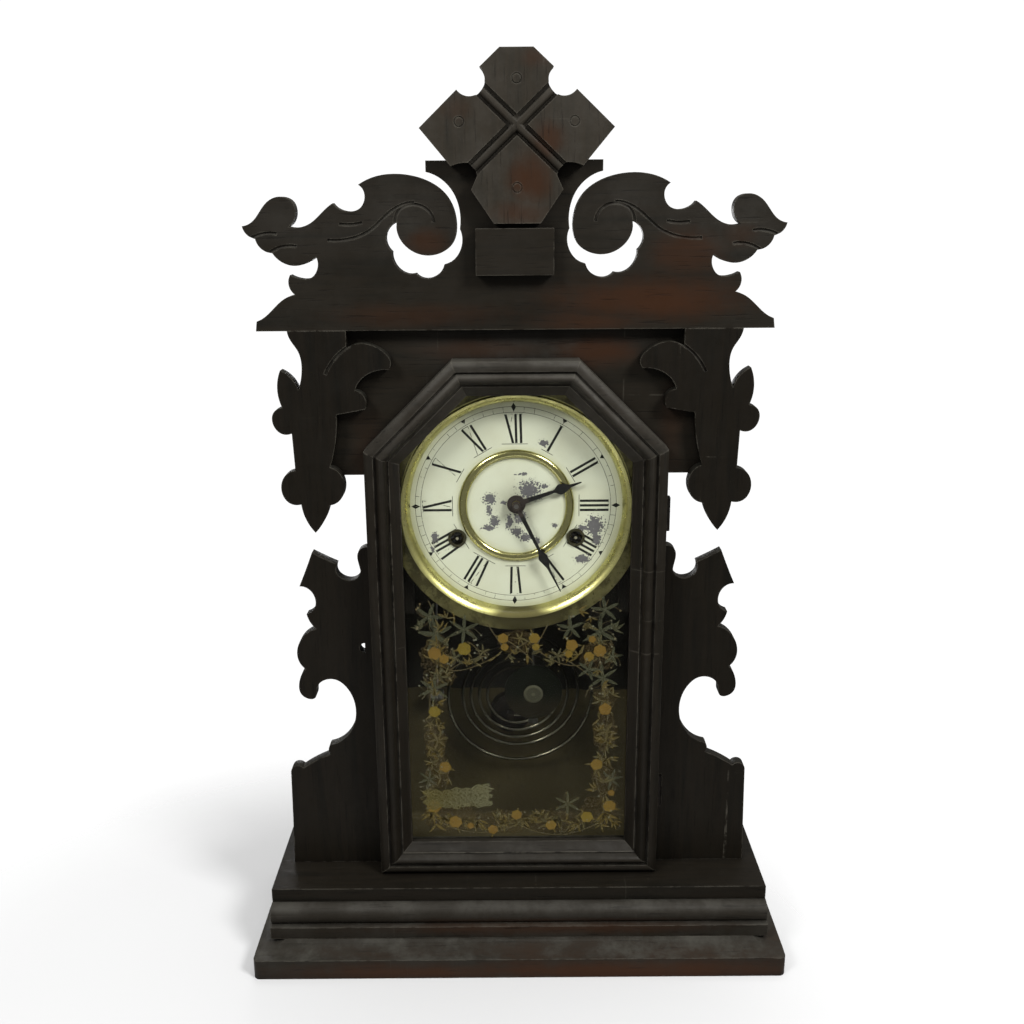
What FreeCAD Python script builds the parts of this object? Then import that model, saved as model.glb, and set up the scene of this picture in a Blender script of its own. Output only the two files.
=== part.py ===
import FreeCAD, Part
import math
import os
import re

# Wooden shelf clock with scroll-cut crest and side ears, an eight-sided door top and a striking movement.
# Millimetres. X to the right, Y to the back, Z up. The front faces -Y and the clock stands on Z = 0,
# with the middle of its base board over the origin.

doc = FreeCAD.newDocument("MantelClock")
sheet = doc.addObject("Spreadsheet::Sheet", "Sizes")

# Driving sizes. Names that end in count or teeth are numbers, in angle degrees, in share parts of a size.
DRIVING = {
    # plinth
    "base_width": 342.0,
    "base_depth": 125.0,
    "base_edge": 13.6,
    "base_thick": 16.7,
    "base_cove_run": 18.0,
    "base_cove_sag": 1.6,
    "base_corner_round": 4.0,
    "plinth_width": 325.0,
    "plinth_set_back": 28.5,
    "plinth_back_inset": 1.5,
    "plinth_board": 9.5,
    "plinth_rail_height": 20.6,
    "plinth_rail_thick": 12.0,
    "moulding_face": 8.2,
    "moulding_set_back": 18.0,
    "moulding_fillet": 4.6,
    "moulding_bulge": 7.6,
    # case
    "case_width": 183.5,
    "case_side_thick": 9.0,
    "case_top_clear": 18.5,
    "case_top_thick": 8.0,
    "back_board_thick": 5.0,
    "back_board_inset": 1.0,
    # front panel, ears and crest
    "panel_width": 252.0,
    "panel_thick": 7.0,
    "panel_foot": 20.4,
    "panel_top": 125.5,
    "panel_opening": 165.0,
    "half_side_angle": 22.5,
    "fretwork_thick": 8.0,
    "engraving": 0.9,
    "ear_board_thick": 8.0,
    "crest_foot": 109.5,
    "crest_height": 95.0,
    "crest_half_width": 157.0,
    "upper_ear_drop": 125.0,
    "lower_ear_reach": 140.0,
    "lower_ear_height": 223.0,
    "ear_slot_wide": 3.9,
    "ear_slot_round": 3.45,
    "ear_slot_from_side": 6.3,
    "ear_slot_rise": 157.2,
    "block_half_width": 22.5,
    "block_height": 26.3,
    "block_foot": 31.6,
    "block_thick": 8.0,
    "finial_half_width": 58.0,
    "finial_height": 106.0,
    "finial_foot": 47.0,
    "finial_thick": 10.0,
    "finial_cross_rise": 66.3,
    "finial_aside": 1.5,
    "finial_cross_angle": 47.0,
    "finial_groove": 8.2,
    "finial_groove_deep": 3.6,
    "finial_bead": 2.5,
    "finial_mark": 2.6,
    "finial_mark_line": 0.45,
    "finial_arm_up": 33.0,
    "finial_arm_down": 38.0,
    "glue_block": 14.0,
    "glue_block_low": 120.0,
    "glue_block_high": 62.0,
    # door
    "door_width": 183.5,
    "door_member": 20.9,
    "door_thick": 18.0,
    "door_gap": 1.0,
    "door_rabbet": 5.0,
    "door_rabbet_deep": 7.0,
    "glass_thick": 2.0,
    "glass_play": 0.4,
    "strip_wide": 4.0,
    "strip_thick": 1.6,
    "hinge_height": 21.3,
    "hinge_upper_below_dial": 6.0,
    "hinge_lower_above_door": 52.0,
    "hinge_leaf": 0.8,
    "hinge_leaf_wide": 7.8,
    "hinge_knuckle": 1.9,
    "hinge_pin": 0.9,
    "hinge_pin_head": 1.5,
    "hinge_fit": 0.05,
    "hinge_gap": 0.15,
    "catch_high": 16.0,
    "catch_thick": 0.8,
    "catch_foot": 4.6,
    "catch_reach": 9.0,
    "catch_above_door": 148.0,
    # dial
    "dial_above_door_foot": 250.7,
    "dial_drop": 1.8,
    "dial_radius": 74.6,
    "dial_thick": 0.8,
    "dial_tab_radius": 79.0,
    "dial_tab_wide": 9.0,
    "dial_tab_angle": 20.0,
    "dial_screw_circle": 77.0,
    "dial_hole": 3.4,
    "bezel_seat": 68.0,
    "bezel_inner": 66.4,
    "bezel_inner_proud": 2.2,
    "bezel_swell": 68.4,
    "bezel_swell_proud": 6.9,
    "bezel_crest": 71.6,
    "bezel_proud": 9.2,
    "bezel_wall": 72.3,
    "bezel_flange": 81.0,
    "bezel_flange_proud": 5.9,
    "bezel_metal": 0.8,
    "centre_ring_outer": 36.2,
    "centre_ring_inner": 31.0,
    "centre_ring_proud": 2.3,
    "centre_ring_lip": 0.6,
    "grommet_outer": 5.8,
    "grommet_proud": 0.9,
    "winding_hole": 4.6,
    "support_wide": 16.4,
    "support_high": 147.0,
    # hands and motion work
    "hand_tip_clear": 3.2,
    "hour_hand_reach": 43.0,
    "hour_hand_angle": 71.0,
    "minute_hand_angle": 153.9,
    "hand_thick": 0.8,
    "hour_hand_clear": 2.6,
    "hand_step": 3.0,
    "hour_collet": 5.8,
    "hand_nut_radius": 2.6,
    "hand_nut_thick": 2.2,
    "minute_arbor": 1.5,
    "arbor_bore": 1.56,
    "hour_pipe": 2.5,
    "motion_distance": 9.0,
    "motion_wheel_thick": 1.1,
    "motion_pinion_thick": 2.6,
    "cannon_teeth": 12,
    "minute_wheel_teeth": 36,
    "minute_pinion_teeth": 10,
    "hour_wheel_teeth": 40,
    # movement frame, measured from the hand arbor and from the front plate
    "plate_half_width": 64.0,
    "plate_half_height": 54.0,
    "plate_thick": 1.5,
    "plate_gap": 32.5,
    "plate_behind_panel": 8.0,
    "lug_rise": 11.0,
    "lug_wide": 14.0,
    "pillar_x": 59.0,
    "pillar_z": 49.0,
    "pillar_radius": 2.8,
    "pillar_nut": 3.4,
    "pillar_nut_thick": 2.6,
    "window_upper": 9.8,
    "window_drop": 17.0,
    "window_low": 9.1,
    "window_low_drop": 38.9,
    "rail_high": 18.0,
    "rail_thick": 7.5,
    "screw_head": 3.2,
    "screw_head_thick": 1.4,
    "screw_shank": 1.4,
    "screw_length": 7.0,
    # going train
    "winding_x": 37.4,
    "winding_drop": 22.6,
    "pivot_play": 0.06,
    "wheel_thick": 1.2,
    "arbor_thin": 0.9,
    "lantern_teeth": 8,
    "leaf_share": 0.17,
    "shroud_share": 1.5,
    "shroud_thick": 0.6,
    "shroud_gap": 2.2,
    "main_teeth": 61,
    "main_distance": 28.5,
    "main_thick": 2.0,
    "second_teeth": 56,
    "second_distance": 20.0,
    "centre_teeth": 84,
    "centre_distance": 19.32,
    "centre_hub": 2.4,
    "third_teeth": 77,
    "third_distance": 17.85,
    "escape_teeth": 42,
    "escape_radius": 12.0,
    "escape_tooth": 1.7,
    "escape_level": 1.2,
    "third_level": 4.5,
    "centre_level": 8.5,
    "second_level": 12.1,
    "main_level": 15.7,
    "spring_level": 19.5,
    "spring_deep": 12.7,
    "spring_radius": 24.4,
    "spring_hub": 7.0,
    "winding_arbor": 2.4,
    "winding_square": 3.4,
    "winding_square_back": 9.0,
    "winding_proud": 2.2,
    "ratchet_radius": 8.0,
    "ratchet_depth": 1.6,
    "ratchet_thick": 1.1,
    "ratchet_teeth": 16,
    "click_clear": 0.3,
    # striking side
    "strike_teeth": 58,
    "strike_wheel": 15.95,
    "strike_lantern": 2.2,
    "strike_bearing_angle": 95.2,
    "fly_bearing_angle": 90.0,
    "fly_radius": 9.0,
    "fly_blade": 0.5,
    "fly_deep": 8.0,
    "fly_level": 2.0,
    "lift_pin_circle": 12.5,
    "lift_pin": 0.5,
    "lift_pin_long": 1.7,
    "lift_pin_count": 8,
    # escapement and pendulum
    "pendulum_x": 10.5,
    "pendulum_forward": 4.0,
    "suspension_rise": 50.0,
    "suspension_block": 5.0,
    "verge_rise": 40.0,
    "verge_over_wheel": 15.0,
    "verge_clear": 0.8,
    "verge_band": 0.9,
    "verge_span_angle": 50.0,
    "verge_deep": 2.0,
    "verge_hub": 2.0,
    "crutch_rise": 13.0,
    "crutch_strip": 0.8,
    "crutch_forward": 2.3,
    "fork_play": 0.12,
    "fork_prong": 0.8,
    "pendulum_length": 181.0,
    "pendulum_rod": 0.7,
    "bob_radius": 19.0,
    "bob_thick": 8.0,
    "bob_boss": 6.5,
    "bob_boss_top": 5.2,
    "bob_boss_proud": 0.8,
    "bob_swell": 3.0,
    "bob_rim": 1.0,
    "bob_nut": 3.2,
    "bob_nut_high": 3.0,
    # gong and hammer
    "gong_drop": 149.4,
    "gong_behind_plate": 33.0,
    "gong_wire": 1.1,
    "gong_start": 16.6,
    "gong_pitch": 5.7,
    "gong_last_step": 11.8,
    "gong_turn_count": 4,
    "gong_base_radius": 14.0,
    "gong_base_gap": 0.9,
    "gong_post_x": 4.7,
    "gong_post_wide": 5.0,
    "gong_post_high": 5.0,
    "gong_post_deep": 3.5,
    "gong_screw_length": 11.5,
    "hammer_x": 54.0,
    "hammer_drop": 46.5,
    "hammer_rod": 0.8,
    "hammer_arbor": 1.0,
    "hammer_head": 4.0,
    "hammer_head_long": 9.0,
    "hammer_gap": 2.0,
    "hammer_tail_clear": 1.0,
    "running_gap": 0.3,
    "overrun": 20.0,
}

# Places worked out from the driving sizes.
PLACES = {
    "base_front": "-base_depth / 2",
    "platform_z": "base_thick + plinth_rail_height + plinth_board",
    "plinth_front": "base_front + plinth_set_back",
    "plinth_back": "base_depth / 2 - plinth_back_inset",
    "case_back": "plinth_back",
    "movement_deep": "panel_thick + plate_behind_panel + 2 * plate_thick + plate_gap + rail_thick",
    "case_front": "case_back - back_board_inset - back_board_thick - movement_deep",
    "case_half": "case_width / 2",
    "case_inner": "case_half - case_side_thick",
    "panel_back": "case_front + panel_thick",
    "fretwork_front": "case_front - fretwork_thick",
    "door_half": "door_width / 2",
    "door_foot": "platform_z + door_gap",
    "dial_z": "door_foot + dial_above_door_foot",
    "dial_centre_z": "dial_z - dial_drop",
    "dial_back": "panel_back",
    "case_head": "dial_z + dial_tab_radius + case_top_clear",
    "case_side_rise": "case_head - platform_z",
    "dial_face": "dial_back - dial_thick",
    "crest_z": "dial_z + crest_foot",
    "upper_ear_z": "crest_z - upper_ear_drop",
    "back_board_front": "case_back - back_board_inset - back_board_thick",
    "plate_front": "panel_back + plate_behind_panel",
    "plate_back": "plate_front + plate_thick",
    "rear_plate_front": "plate_back + plate_gap",
    "rear_plate_back": "rear_plate_front + plate_thick",
    "glass_front": "case_front - door_rabbet_deep",
    "hinge_axis_x": "door_half + hinge_knuckle + hinge_gap",
    "hinge_upper_z": "dial_z - hinge_upper_below_dial",
    "hinge_lower_z": "door_foot + hinge_lower_above_door",
    "hour_hand_back": "dial_face - hour_hand_clear",
    "minute_hand_back": "hour_hand_back - hand_step",
    "pendulum_y": "plate_front - pendulum_forward",
    "suspension_z": "dial_z + suspension_rise",
    "verge_z": "dial_z + verge_rise",
    "escape_z": "verge_z - verge_over_wheel",
    "crutch_z": "dial_z + crutch_rise",
    "bob_z": "suspension_z - pendulum_length",
    "minute_hand_reach": "bezel_inner - hand_tip_clear",
    "gong_z": "dial_z - gong_drop",
    "gong_y": "plate_front + gong_behind_plate",
    "hammer_z": "dial_z - hammer_drop",
    "winding_z": "dial_z - winding_drop",
}

COUNTS = ("count", "teeth", "angle")


def fill_sheet():
    """Writes the driving sizes as plain numbers and the places as formulas, each under its alias."""
    for row, (alias, number) in enumerate(DRIVING.items(), 1):
        sheet.set(f"A{row}", alias)
        sheet.set(f"B{row}", str(number))
        sheet.setAlias(f"B{row}", alias)
    for row, (alias, formula) in enumerate(PLACES.items(), 1):
        sheet.set(f"D{row}", alias)
        sheet.set(f"E{row}", f"={formula}")
        sheet.setAlias(f"E{row}", alias)
    doc.recompute()


fill_sheet()


class Sizes:
    """Reads a size of the sheet by its alias, such as size.base_width."""

    def __getattr__(self, alias):
        number = float(sheet.get(alias))
        return round(number) if alias.endswith(("count", "teeth")) else number


size = Sizes()
ALIAS = re.compile(r"[a-z_]{3,}")
TO_BACK = FreeCAD.Rotation(FreeCAD.Vector(1, 0, 0), -90)
TO_RIGHT = FreeCAD.Rotation(FreeCAD.Vector(0, 1, 0), 90)
BACK = FreeCAD.Vector(0, 1, 0)
UP = FreeCAD.Vector(0, 0, 1)
parts = []


def cells(rule):
    """Puts the sheet's name before every alias in a rule."""
    return ALIAS.sub(lambda word: f"Sizes.{word.group()}" if known(word.group()) else word.group(), rule)


def known(word):
    return word in DRIVING or word in PLACES


def bind(item, at=(), **rules):
    """Ties the properties of an item, and the place of its origin, to the sheet."""
    for name, rule in rules.items():
        item.setExpression(name, cells(rule))
    for axis, rule in zip("xyz", at):
        item.setExpression(f"Placement.Base.{axis}", cells(rule))
    return item


def add(kind, name):
    return doc.addObject(kind, name)


def keep(item):
    """Marks a finished sub-part, whose Label names its file."""
    parts.append(item)
    return item


def point(x, y, z):
    return FreeCAD.Vector(x, y, z)


def box(name, at, wide, deep, high):
    return bind(add("Part::Box", name), at, Length=wide, Width=deep, Height=high)


def rod(name, at, radius, length, turn=TO_BACK):
    """A cylinder that runs to the back, or as turned, from the place given."""
    item = add("Part::Cylinder", name)
    item.Placement.Rotation = turn
    return bind(item, at, Radius=radius, Height=length)


def cut(name, base, *tools):
    item = add("Part::Cut", name)
    item.Base = base
    item.Tool = tools[0] if len(tools) == 1 else join(f"{name}_tools", *tools)
    return item


def join(name, *items):
    item = add("Part::MultiFuse", name)
    item.Shapes = list(items)
    return item


def group(name, *items):
    """Separate solids that share one node."""
    item = add("Part::Compound", name)
    item.Links = list(items)
    return item


def made(name, shape):
    item = add("Part::Feature", name)
    item.Shape = shape
    return item


def stroke(points):
    """One edge of an outline: a line through two points, an arc through three, else a smooth curve."""
    if len(points) == 2:
        return Part.makeLine(*points)
    if len(points) == 3:
        return Part.Arc(*points).toShape()
    curve = Part.BSplineCurve()
    curve.interpolate(points)
    return curve.toShape()


def face_of(edges):
    return Part.Face(Part.Wire(edges))


def polygon(points):
    return Part.makePolygon(points + points[:1])


def slab(name, face, thick):
    """A board or plate: a face drawn in the front view, drawn out to the back."""
    item = add("Part::Extrusion", name)
    item.Base = made(f"{name}_face", face)
    item.DirMode = "Custom"
    item.Dir = BACK
    item.Solid = True
    return bind(item, LengthFwd=thick)


def turned(name, face, centre, axis=BACK):
    """A turned piece: its half section, spun round the axis through the centre."""
    item = add("Part::Revolution", name)
    item.Source = made(f"{name}_section", face)
    item.Axis = axis
    item.Base = centre
    item.Angle = 360
    item.Solid = True
    return item


def board_outline(shares, wide, high, foot, front, side=1, middle=0):
    """Edges of one side of a sawn outline, from shares of the board's width and height."""
    edges = []
    for line in shares:
        edges.append(stroke([point(middle + side * x * wide, front, foot + z * high) for x, z in line]))
    return edges


def close_through(edges, corners):
    """Adds straight edges from the end of a row of edges through the corners, back to its start."""
    start = edges[0].valueAt(edges[0].FirstParameter)
    last = edges[-1].valueAt(edges[-1].LastParameter)
    chain = [last] + corners + [start]
    return edges + [Part.makeLine(a, b) for a, b in zip(chain, chain[1:])]


# Plinth

def base_board():
    """The bottom board: round-cornered, with a shallow cove round its front and sides."""
    wide, deep, round_off = size.base_width / 2, size.base_depth / 2, size.base_corner_round
    rectangle = Part.makePlane(2 * wide, 2 * deep, point(-wide, -deep, 0))
    blank = Part.Wire(rectangle.Edges)
    solid = Part.Face(blank).extrude(UP * size.base_thick)
    upright = [edge for edge in solid.Edges if abs(edge.tangentAt(edge.FirstParameter).z) > 0.9]
    board = made("base_blank", solid.makeFillet(round_off, upright))
    run, rise, over = size.base_cove_run, size.base_thick, size.overrun

    def waste(across, along, start, length):
        """Section of the wood taken off along one edge, drawn out along it."""
        def place(inward, z):
            return start + across * inward + UP * z
        edge_z = size.base_edge
        middle = place(run / 2, (edge_z + rise) / 2 - size.base_cove_sag)
        edges = [stroke([place(0, edge_z), middle, place(run, rise)])]
        corners = [place(run, rise + over), place(-over, rise + over), place(-over, edge_z)]
        return face_of(close_through(edges, corners)).extrude(along * length)

    front = waste(BACK, FreeCAD.Vector(1, 0, 0), point(-wide - over, -deep, 0), 2 * (wide + over))
    left = waste(FreeCAD.Vector(1, 0, 0), BACK, point(-wide, -deep - over, 0), 2 * (deep + over))
    right = waste(FreeCAD.Vector(-1, 0, 0), BACK, point(wide, -deep - over, 0), 2 * (deep + over))
    coves = [made(f"base_cove_{i}", shape) for i, shape in enumerate((front, left, right))]
    return keep(cut("base_board", board, *coves))


def base_front_moulding():
    """The two-step moulding across the front of the plinth, cut square at its ends."""
    front = size.base_front + size.moulding_set_back
    low, step = size.base_thick, size.base_thick + size.moulding_face
    high = size.base_thick + size.plinth_rail_height
    left = -size.plinth_width / 2
    shelf, top_y = front + size.moulding_fillet, size.plinth_front
    back = top_y + size.plinth_rail_thick / 2
    bulge = point(left, top_y - size.moulding_bulge, (step + high) / 2 + size.moulding_fillet / 4)
    edges = [stroke([point(left, shelf, step), bulge, point(left, top_y, high)])]
    corners = [point(left, back, high), point(left, back, low), point(left, front, low), point(left, front, step)]
    item = add("Part::Extrusion", "base_front_moulding")
    item.Base = made("moulding_section", face_of(close_through(edges, corners)))
    item.DirMode = "Custom"
    item.Dir = FreeCAD.Vector(1, 0, 0)
    item.Solid = True
    return keep(bind(item, LengthFwd="plinth_width"))


def plinth():
    keep(box("plinth_top_board", ("-plinth_width / 2", "plinth_front", "platform_z - plinth_board"),
             "plinth_width", "plinth_back - plinth_front", "plinth_board"))
    inner = "plinth_front + plinth_rail_thick / 2"
    left = box("plinth_end_left", ("-plinth_width / 2", inner, "base_thick"),
               "plinth_rail_thick", f"plinth_back - ({inner})", "plinth_rail_height")
    right = box("plinth_end_right", ("plinth_width / 2 - plinth_rail_thick", inner, "base_thick"),
                "plinth_rail_thick", f"plinth_back - ({inner})", "plinth_rail_height")
    rear = box("plinth_rear", ("-plinth_width / 2 + plinth_rail_thick", "plinth_back - plinth_rail_thick",
                               "base_thick"),
               "plinth_width - 2 * plinth_rail_thick", "plinth_rail_thick", "plinth_rail_height")
    keep(group("plinth_rails", left, right, rear))


# Case

def case():
    """Two sides let back behind the front panel, a top board and a thin back."""
    for name, x in (("case_side_left", "-case_half"), ("case_side_right", "case_inner")):
        blank = box(f"{name}_blank", (x, "case_front", "platform_z"),
                    "case_side_thick", "case_back - case_front", "case_side_rise")
        step = box(f"{name}_step", (f"{x} - overrun", "case_front - overrun", "dial_z + panel_foot"),
                   "case_side_thick + 2 * overrun", "panel_thick + overrun", "case_side_rise")
        keep(cut(name, blank, step))
    keep(box("case_top_board", ("-case_half", "panel_back", "case_head"),
             "case_width", "case_back - panel_back", "case_top_thick"))
    board = box("back_board_blank", ("-case_inner", "back_board_front", "platform_z"),
                "2 * case_inner", "back_board_thick", "case_side_rise")
    keep(cut("back_board", board, screw_hole("back_board_hole", gong_screw_head(), size.gong_screw_length)))


def eight_sided(half, front, length, name):
    """A regular eight-sided prism round the dial's centre, for openings behind the door."""
    item = add("Part::Prism", name)
    item.Polygon = 8
    item.Placement = FreeCAD.Placement(
        point(0, front, size.dial_z), TO_BACK.multiply(FreeCAD.Rotation(UP, size.half_side_angle)))
    item.setExpression("Placement.Base.z", cells("dial_z"))
    return bind(item, Circumradius=f"{half} / cos(half_side_angle)", Height=length)


def head_panel():
    """The wide panel behind the ears and the crest, cut out round the dial."""
    blank = box("panel_blank", ("-panel_width / 2", "case_front", "dial_z + panel_foot"),
                "panel_width", "panel_thick", "panel_top - panel_foot")
    opening = eight_sided("panel_opening / 2", size.case_front - size.overrun,
                          "panel_thick + 2 * overrun", "panel_opening_prism")
    keep(cut("head_panel", blank, opening))


CREST_SHARES = [
    [(0.970, 0.0), (0.965, 0.060)],
    [(0.965, 0.060), (0.920, 0.105), (0.875, 0.175), (0.815, 0.220)],
    [(0.815, 0.220), (0.836, 0.270), (0.830, 0.340)],
    [(0.830, 0.340), (0.795, 0.318), (0.750, 0.325), (0.728, 0.375), (0.730, 0.445)],
    [(0.730, 0.445), (0.765, 0.410), (0.820, 0.395), (0.865, 0.425), (0.890, 0.470)],
    [(0.890, 0.470), (0.925, 0.490), (0.950, 0.555)],
    [(0.950, 0.555), (0.982, 0.585), (0.995, 0.630)],
    [(0.995, 0.630), (0.945, 0.675), (0.905, 0.760), (0.855, 0.800), (0.810, 0.775), (0.797, 0.705),
     (0.825, 0.625)],
    [(0.825, 0.625), (0.790, 0.620), (0.750, 0.640), (0.705, 0.700), (0.660, 0.760)],
    [(0.660, 0.760), (0.605, 0.712), (0.562, 0.730), (0.543, 0.795), (0.565, 0.865)],
    [(0.565, 0.865), (0.495, 0.915), (0.410, 0.925), (0.320, 0.890), (0.248, 0.805), (0.213, 0.665),
     (0.230, 0.515), (0.310, 0.450), (0.385, 0.485), (0.425, 0.565), (0.430, 0.645)],
    [(0.430, 0.645), (0.470, 0.575), (0.450, 0.475)],
    [(0.450, 0.475), (0.440, 0.400), (0.410, 0.352), (0.365, 0.345)],
    [(0.365, 0.345), (0.325, 0.313), (0.285, 0.335), (0.260, 0.395)],
    [(0.260, 0.395), (0.215, 0.440), (0.193, 0.520), (0.200, 0.605)],
    [(0.200, 0.605), (0.200, 0.715), (0.225, 0.825), (0.270, 0.900), (0.320, 0.935)],
    [(0.320, 0.935), (0.320, 1.0)],
]


CREST_ENGRAVING_SHARES = [
    [(0.435, 0.625), (0.410, 0.730), (0.370, 0.750), (0.325, 0.730), (0.295, 0.645)],
    [(0.365, 0.760), (0.420, 0.740), (0.470, 0.685), (0.525, 0.605), (0.595, 0.555), (0.685, 0.545)],
    [(0.555, 0.645), (0.600, 0.635), (0.640, 0.640)],
    [(0.975, 0.550), (0.920, 0.585), (0.870, 0.585)],
    [(0.910, 0.460), (0.860, 0.505), (0.800, 0.510)],
]
UPPER_EAR_ENGRAVING_SHARES = [
    [(0.615, 0.935), (0.685, 0.865), (0.720, 0.795)],
]


def engraved(name, board, shares, measures, sides):
    """Cuts round-bottomed carved lines into the front of a board, along strokes given as shares."""
    tools = []
    for side in sides:
        for edge in board_outline(shares, *measures, side=side):
            start = edge.valueAt(edge.FirstParameter)
            along = edge.tangentAt(edge.FirstParameter)
            circle = Part.Wire(Part.Circle(start, along, size.engraving).toShape())
            tube = Part.Wire(edge).makePipeShell([circle], True, False)
            tools.append(made(f"{name}_line_{len(tools)}", tube))
    return cut(name, board, *tools)


def crest_board():
    """The scroll-cut board over the head panel, with its carved lines."""
    measures = (size.crest_half_width, size.crest_height, size.crest_z, size.fretwork_front)
    right = board_outline(CREST_SHARES, *measures)
    left = board_outline(CREST_SHARES, *measures, side=-1)
    top = Part.makeLine(right[-1].valueAt(right[-1].LastParameter), left[-1].valueAt(left[-1].LastParameter))
    foot = Part.makeLine(left[0].valueAt(left[0].FirstParameter), right[0].valueAt(right[0].FirstParameter))
    board = slab("crest_blank", face_of(right + [top] + left[::-1] + [foot]), "fretwork_thick")
    keep(engraved("crest_board", board, CREST_ENGRAVING_SHARES, measures, (-1, 1)))


UPPER_EAR_SHARES = [
    [(0.855, 1.0), (0.843, 0.955), (0.818, 0.905), (0.808, 0.815), (0.825, 0.720)],
    [(0.825, 0.720), (0.850, 0.778), (0.890, 0.815)],
    [(0.890, 0.815), (0.905, 0.725), (0.890, 0.635)],
    [(0.890, 0.635), (0.930, 0.600), (0.922, 0.535), (0.860, 0.510)],
    [(0.860, 0.510), (0.855, 0.325)],
    [(0.855, 0.325), (0.912, 0.262), (0.900, 0.180), (0.840, 0.155)],
    [(0.840, 0.155), (0.825, 0.080), (0.790, 0.010)],
    [(0.790, 0.010), (0.750, 0.080), (0.730, 0.150)],
    [(0.730, 0.150), (0.675, 0.200), (0.678, 0.300), (0.720, 0.340)],
    [(0.720, 0.340), (0.695, 0.460), (0.685, 0.600)],
    [(0.685, 0.600), (0.575, 0.625)],
    [(0.575, 0.625), (0.573, 0.680), (0.610, 0.715)],
    [(0.610, 0.715), (0.585, 0.770), (0.540, 0.805), (0.480, 0.815)],
    [(0.480, 0.815), (0.470, 0.850), (0.508, 0.910), (0.570, 0.940), (0.635, 0.918)],
    [(0.635, 0.918), (0.635, 1.0)],
]


def upper_ear(name, side):
    """A sawn bracket that hangs on the head panel, below the crest."""
    measures = (size.crest_half_width, size.upper_ear_drop, size.upper_ear_z, size.fretwork_front)
    edges = board_outline(UPPER_EAR_SHARES, *measures, side=side)
    board = slab(f"{name}_blank", face_of(close_through(edges, [])), "fretwork_thick")
    return keep(engraved(name, board, UPPER_EAR_ENGRAVING_SHARES, measures, (side,)))


LOWER_EAR_SHARES = [
    [(0.683, 1.010), (0.715, 0.990), (0.712, 0.962), (0.705, 0.940)],
    [(0.705, 0.940), (0.748, 0.912), (0.798, 0.922), (0.810, 0.960)],
    [(0.810, 0.960), (0.860, 0.975), (0.920, 0.995)],
    [(0.920, 0.995), (0.948, 0.950), (0.985, 0.895)],
    [(0.985, 0.895), (0.928, 0.875), (0.918, 0.835), (0.960, 0.810)],
    [(0.960, 0.810), (0.945, 0.785), (0.920, 0.765)],
    [(0.920, 0.765), (0.990, 0.735), (1.015, 0.685), (0.980, 0.640)],
    [(0.980, 0.640), (1.013, 0.600), (1.000, 0.555), (0.955, 0.545), (0.935, 0.570)],
    [(0.935, 0.570), (0.905, 0.602), (0.850, 0.607), (0.790, 0.577), (0.758, 0.520), (0.770, 0.460),
     (0.815, 0.417), (0.885, 0.395)],
    [(0.885, 0.395), (0.895, 0.380), (0.885, 0.365)],
    [(0.885, 0.365), (0.950, 0.347), (1.020, 0.320)],
    [(1.020, 0.320), (1.070, 0.322), (1.080, 0.305)],
    [(1.080, 0.305), (1.090, 0.0)],
]


def lower_ear(name, side):
    """A sawn bracket that stands on the plinth against the case side."""
    measures = (size.lower_ear_reach, size.lower_ear_height, size.platform_z, size.case_front)
    edges = board_outline(LOWER_EAR_SHARES, *measures, side=side)
    first = edges[0].valueAt(edges[0].FirstParameter)
    against = side * size.case_half
    corners = [point(against, size.case_front, size.platform_z), point(against, size.case_front, first.z)]
    return slab(name, face_of(close_through(edges, corners)), "ear_board_thick")


def lower_ears():
    """The left ear has a small slot beside the case, the right one a notch for the lower hinge."""
    left = lower_ear("lower_ear_left_board", -1)
    slot_x = "-case_half - ear_slot_from_side"
    slot_z = "platform_z + ear_slot_rise"
    start = "case_front - overrun"
    round_end = rod("ear_slot_round_end", (slot_x, start, slot_z), "ear_slot_round", "2 * overrun")
    flat_end = box("ear_slot_flat_end", (f"{slot_x} - ear_slot_wide", start, f"{slot_z} - ear_slot_round"),
                   "ear_slot_wide", "2 * overrun", "2 * ear_slot_round")
    slot = add("Part::MultiCommon", "ear_slot")
    slot.Shapes = [round_end, flat_end]
    keep(cut("lower_ear_left", left, slot))
    right = lower_ear("lower_ear_right_board", 1)
    notch = box("hinge_notch", ("case_half - overrun", start,
                                "hinge_lower_z - hinge_height / 2 - hinge_leaf - running_gap"),
                "overrun + 2 * hinge_knuckle + 3 * hinge_gap", "2 * overrun",
                "hinge_height + 2 * hinge_leaf + 3 * running_gap")
    keep(cut("lower_ear_right", right, notch))


FINIAL_SHARES = [
    [(0.0, 1.0), (0.160, 1.0)],
    [(0.160, 1.0), (0.350, 0.906)],
    [(0.350, 0.906), (0.343, 0.789), (0.569, 0.797)],
    [(0.569, 0.797), (0.933, 0.611)],
    [(0.933, 0.611), (0.638, 0.420)],
    [(0.638, 0.420), (0.540, 0.436), (0.469, 0.437)],
    [(0.469, 0.437), (0.402, 0.401)],
    [(0.402, 0.401), (0.384, 0.372)],
    [(0.384, 0.372), (0.445, 0.300)],
    [(0.445, 0.300), (0.228, 0.127)],
    [(0.228, 0.127), (0.0, 0.127)],
]
FINIAL_MARK_SHARES = [(0.0, 0.850), (-0.550, 0.640), (0.550, 0.640), (0.0, 0.310)]


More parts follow.
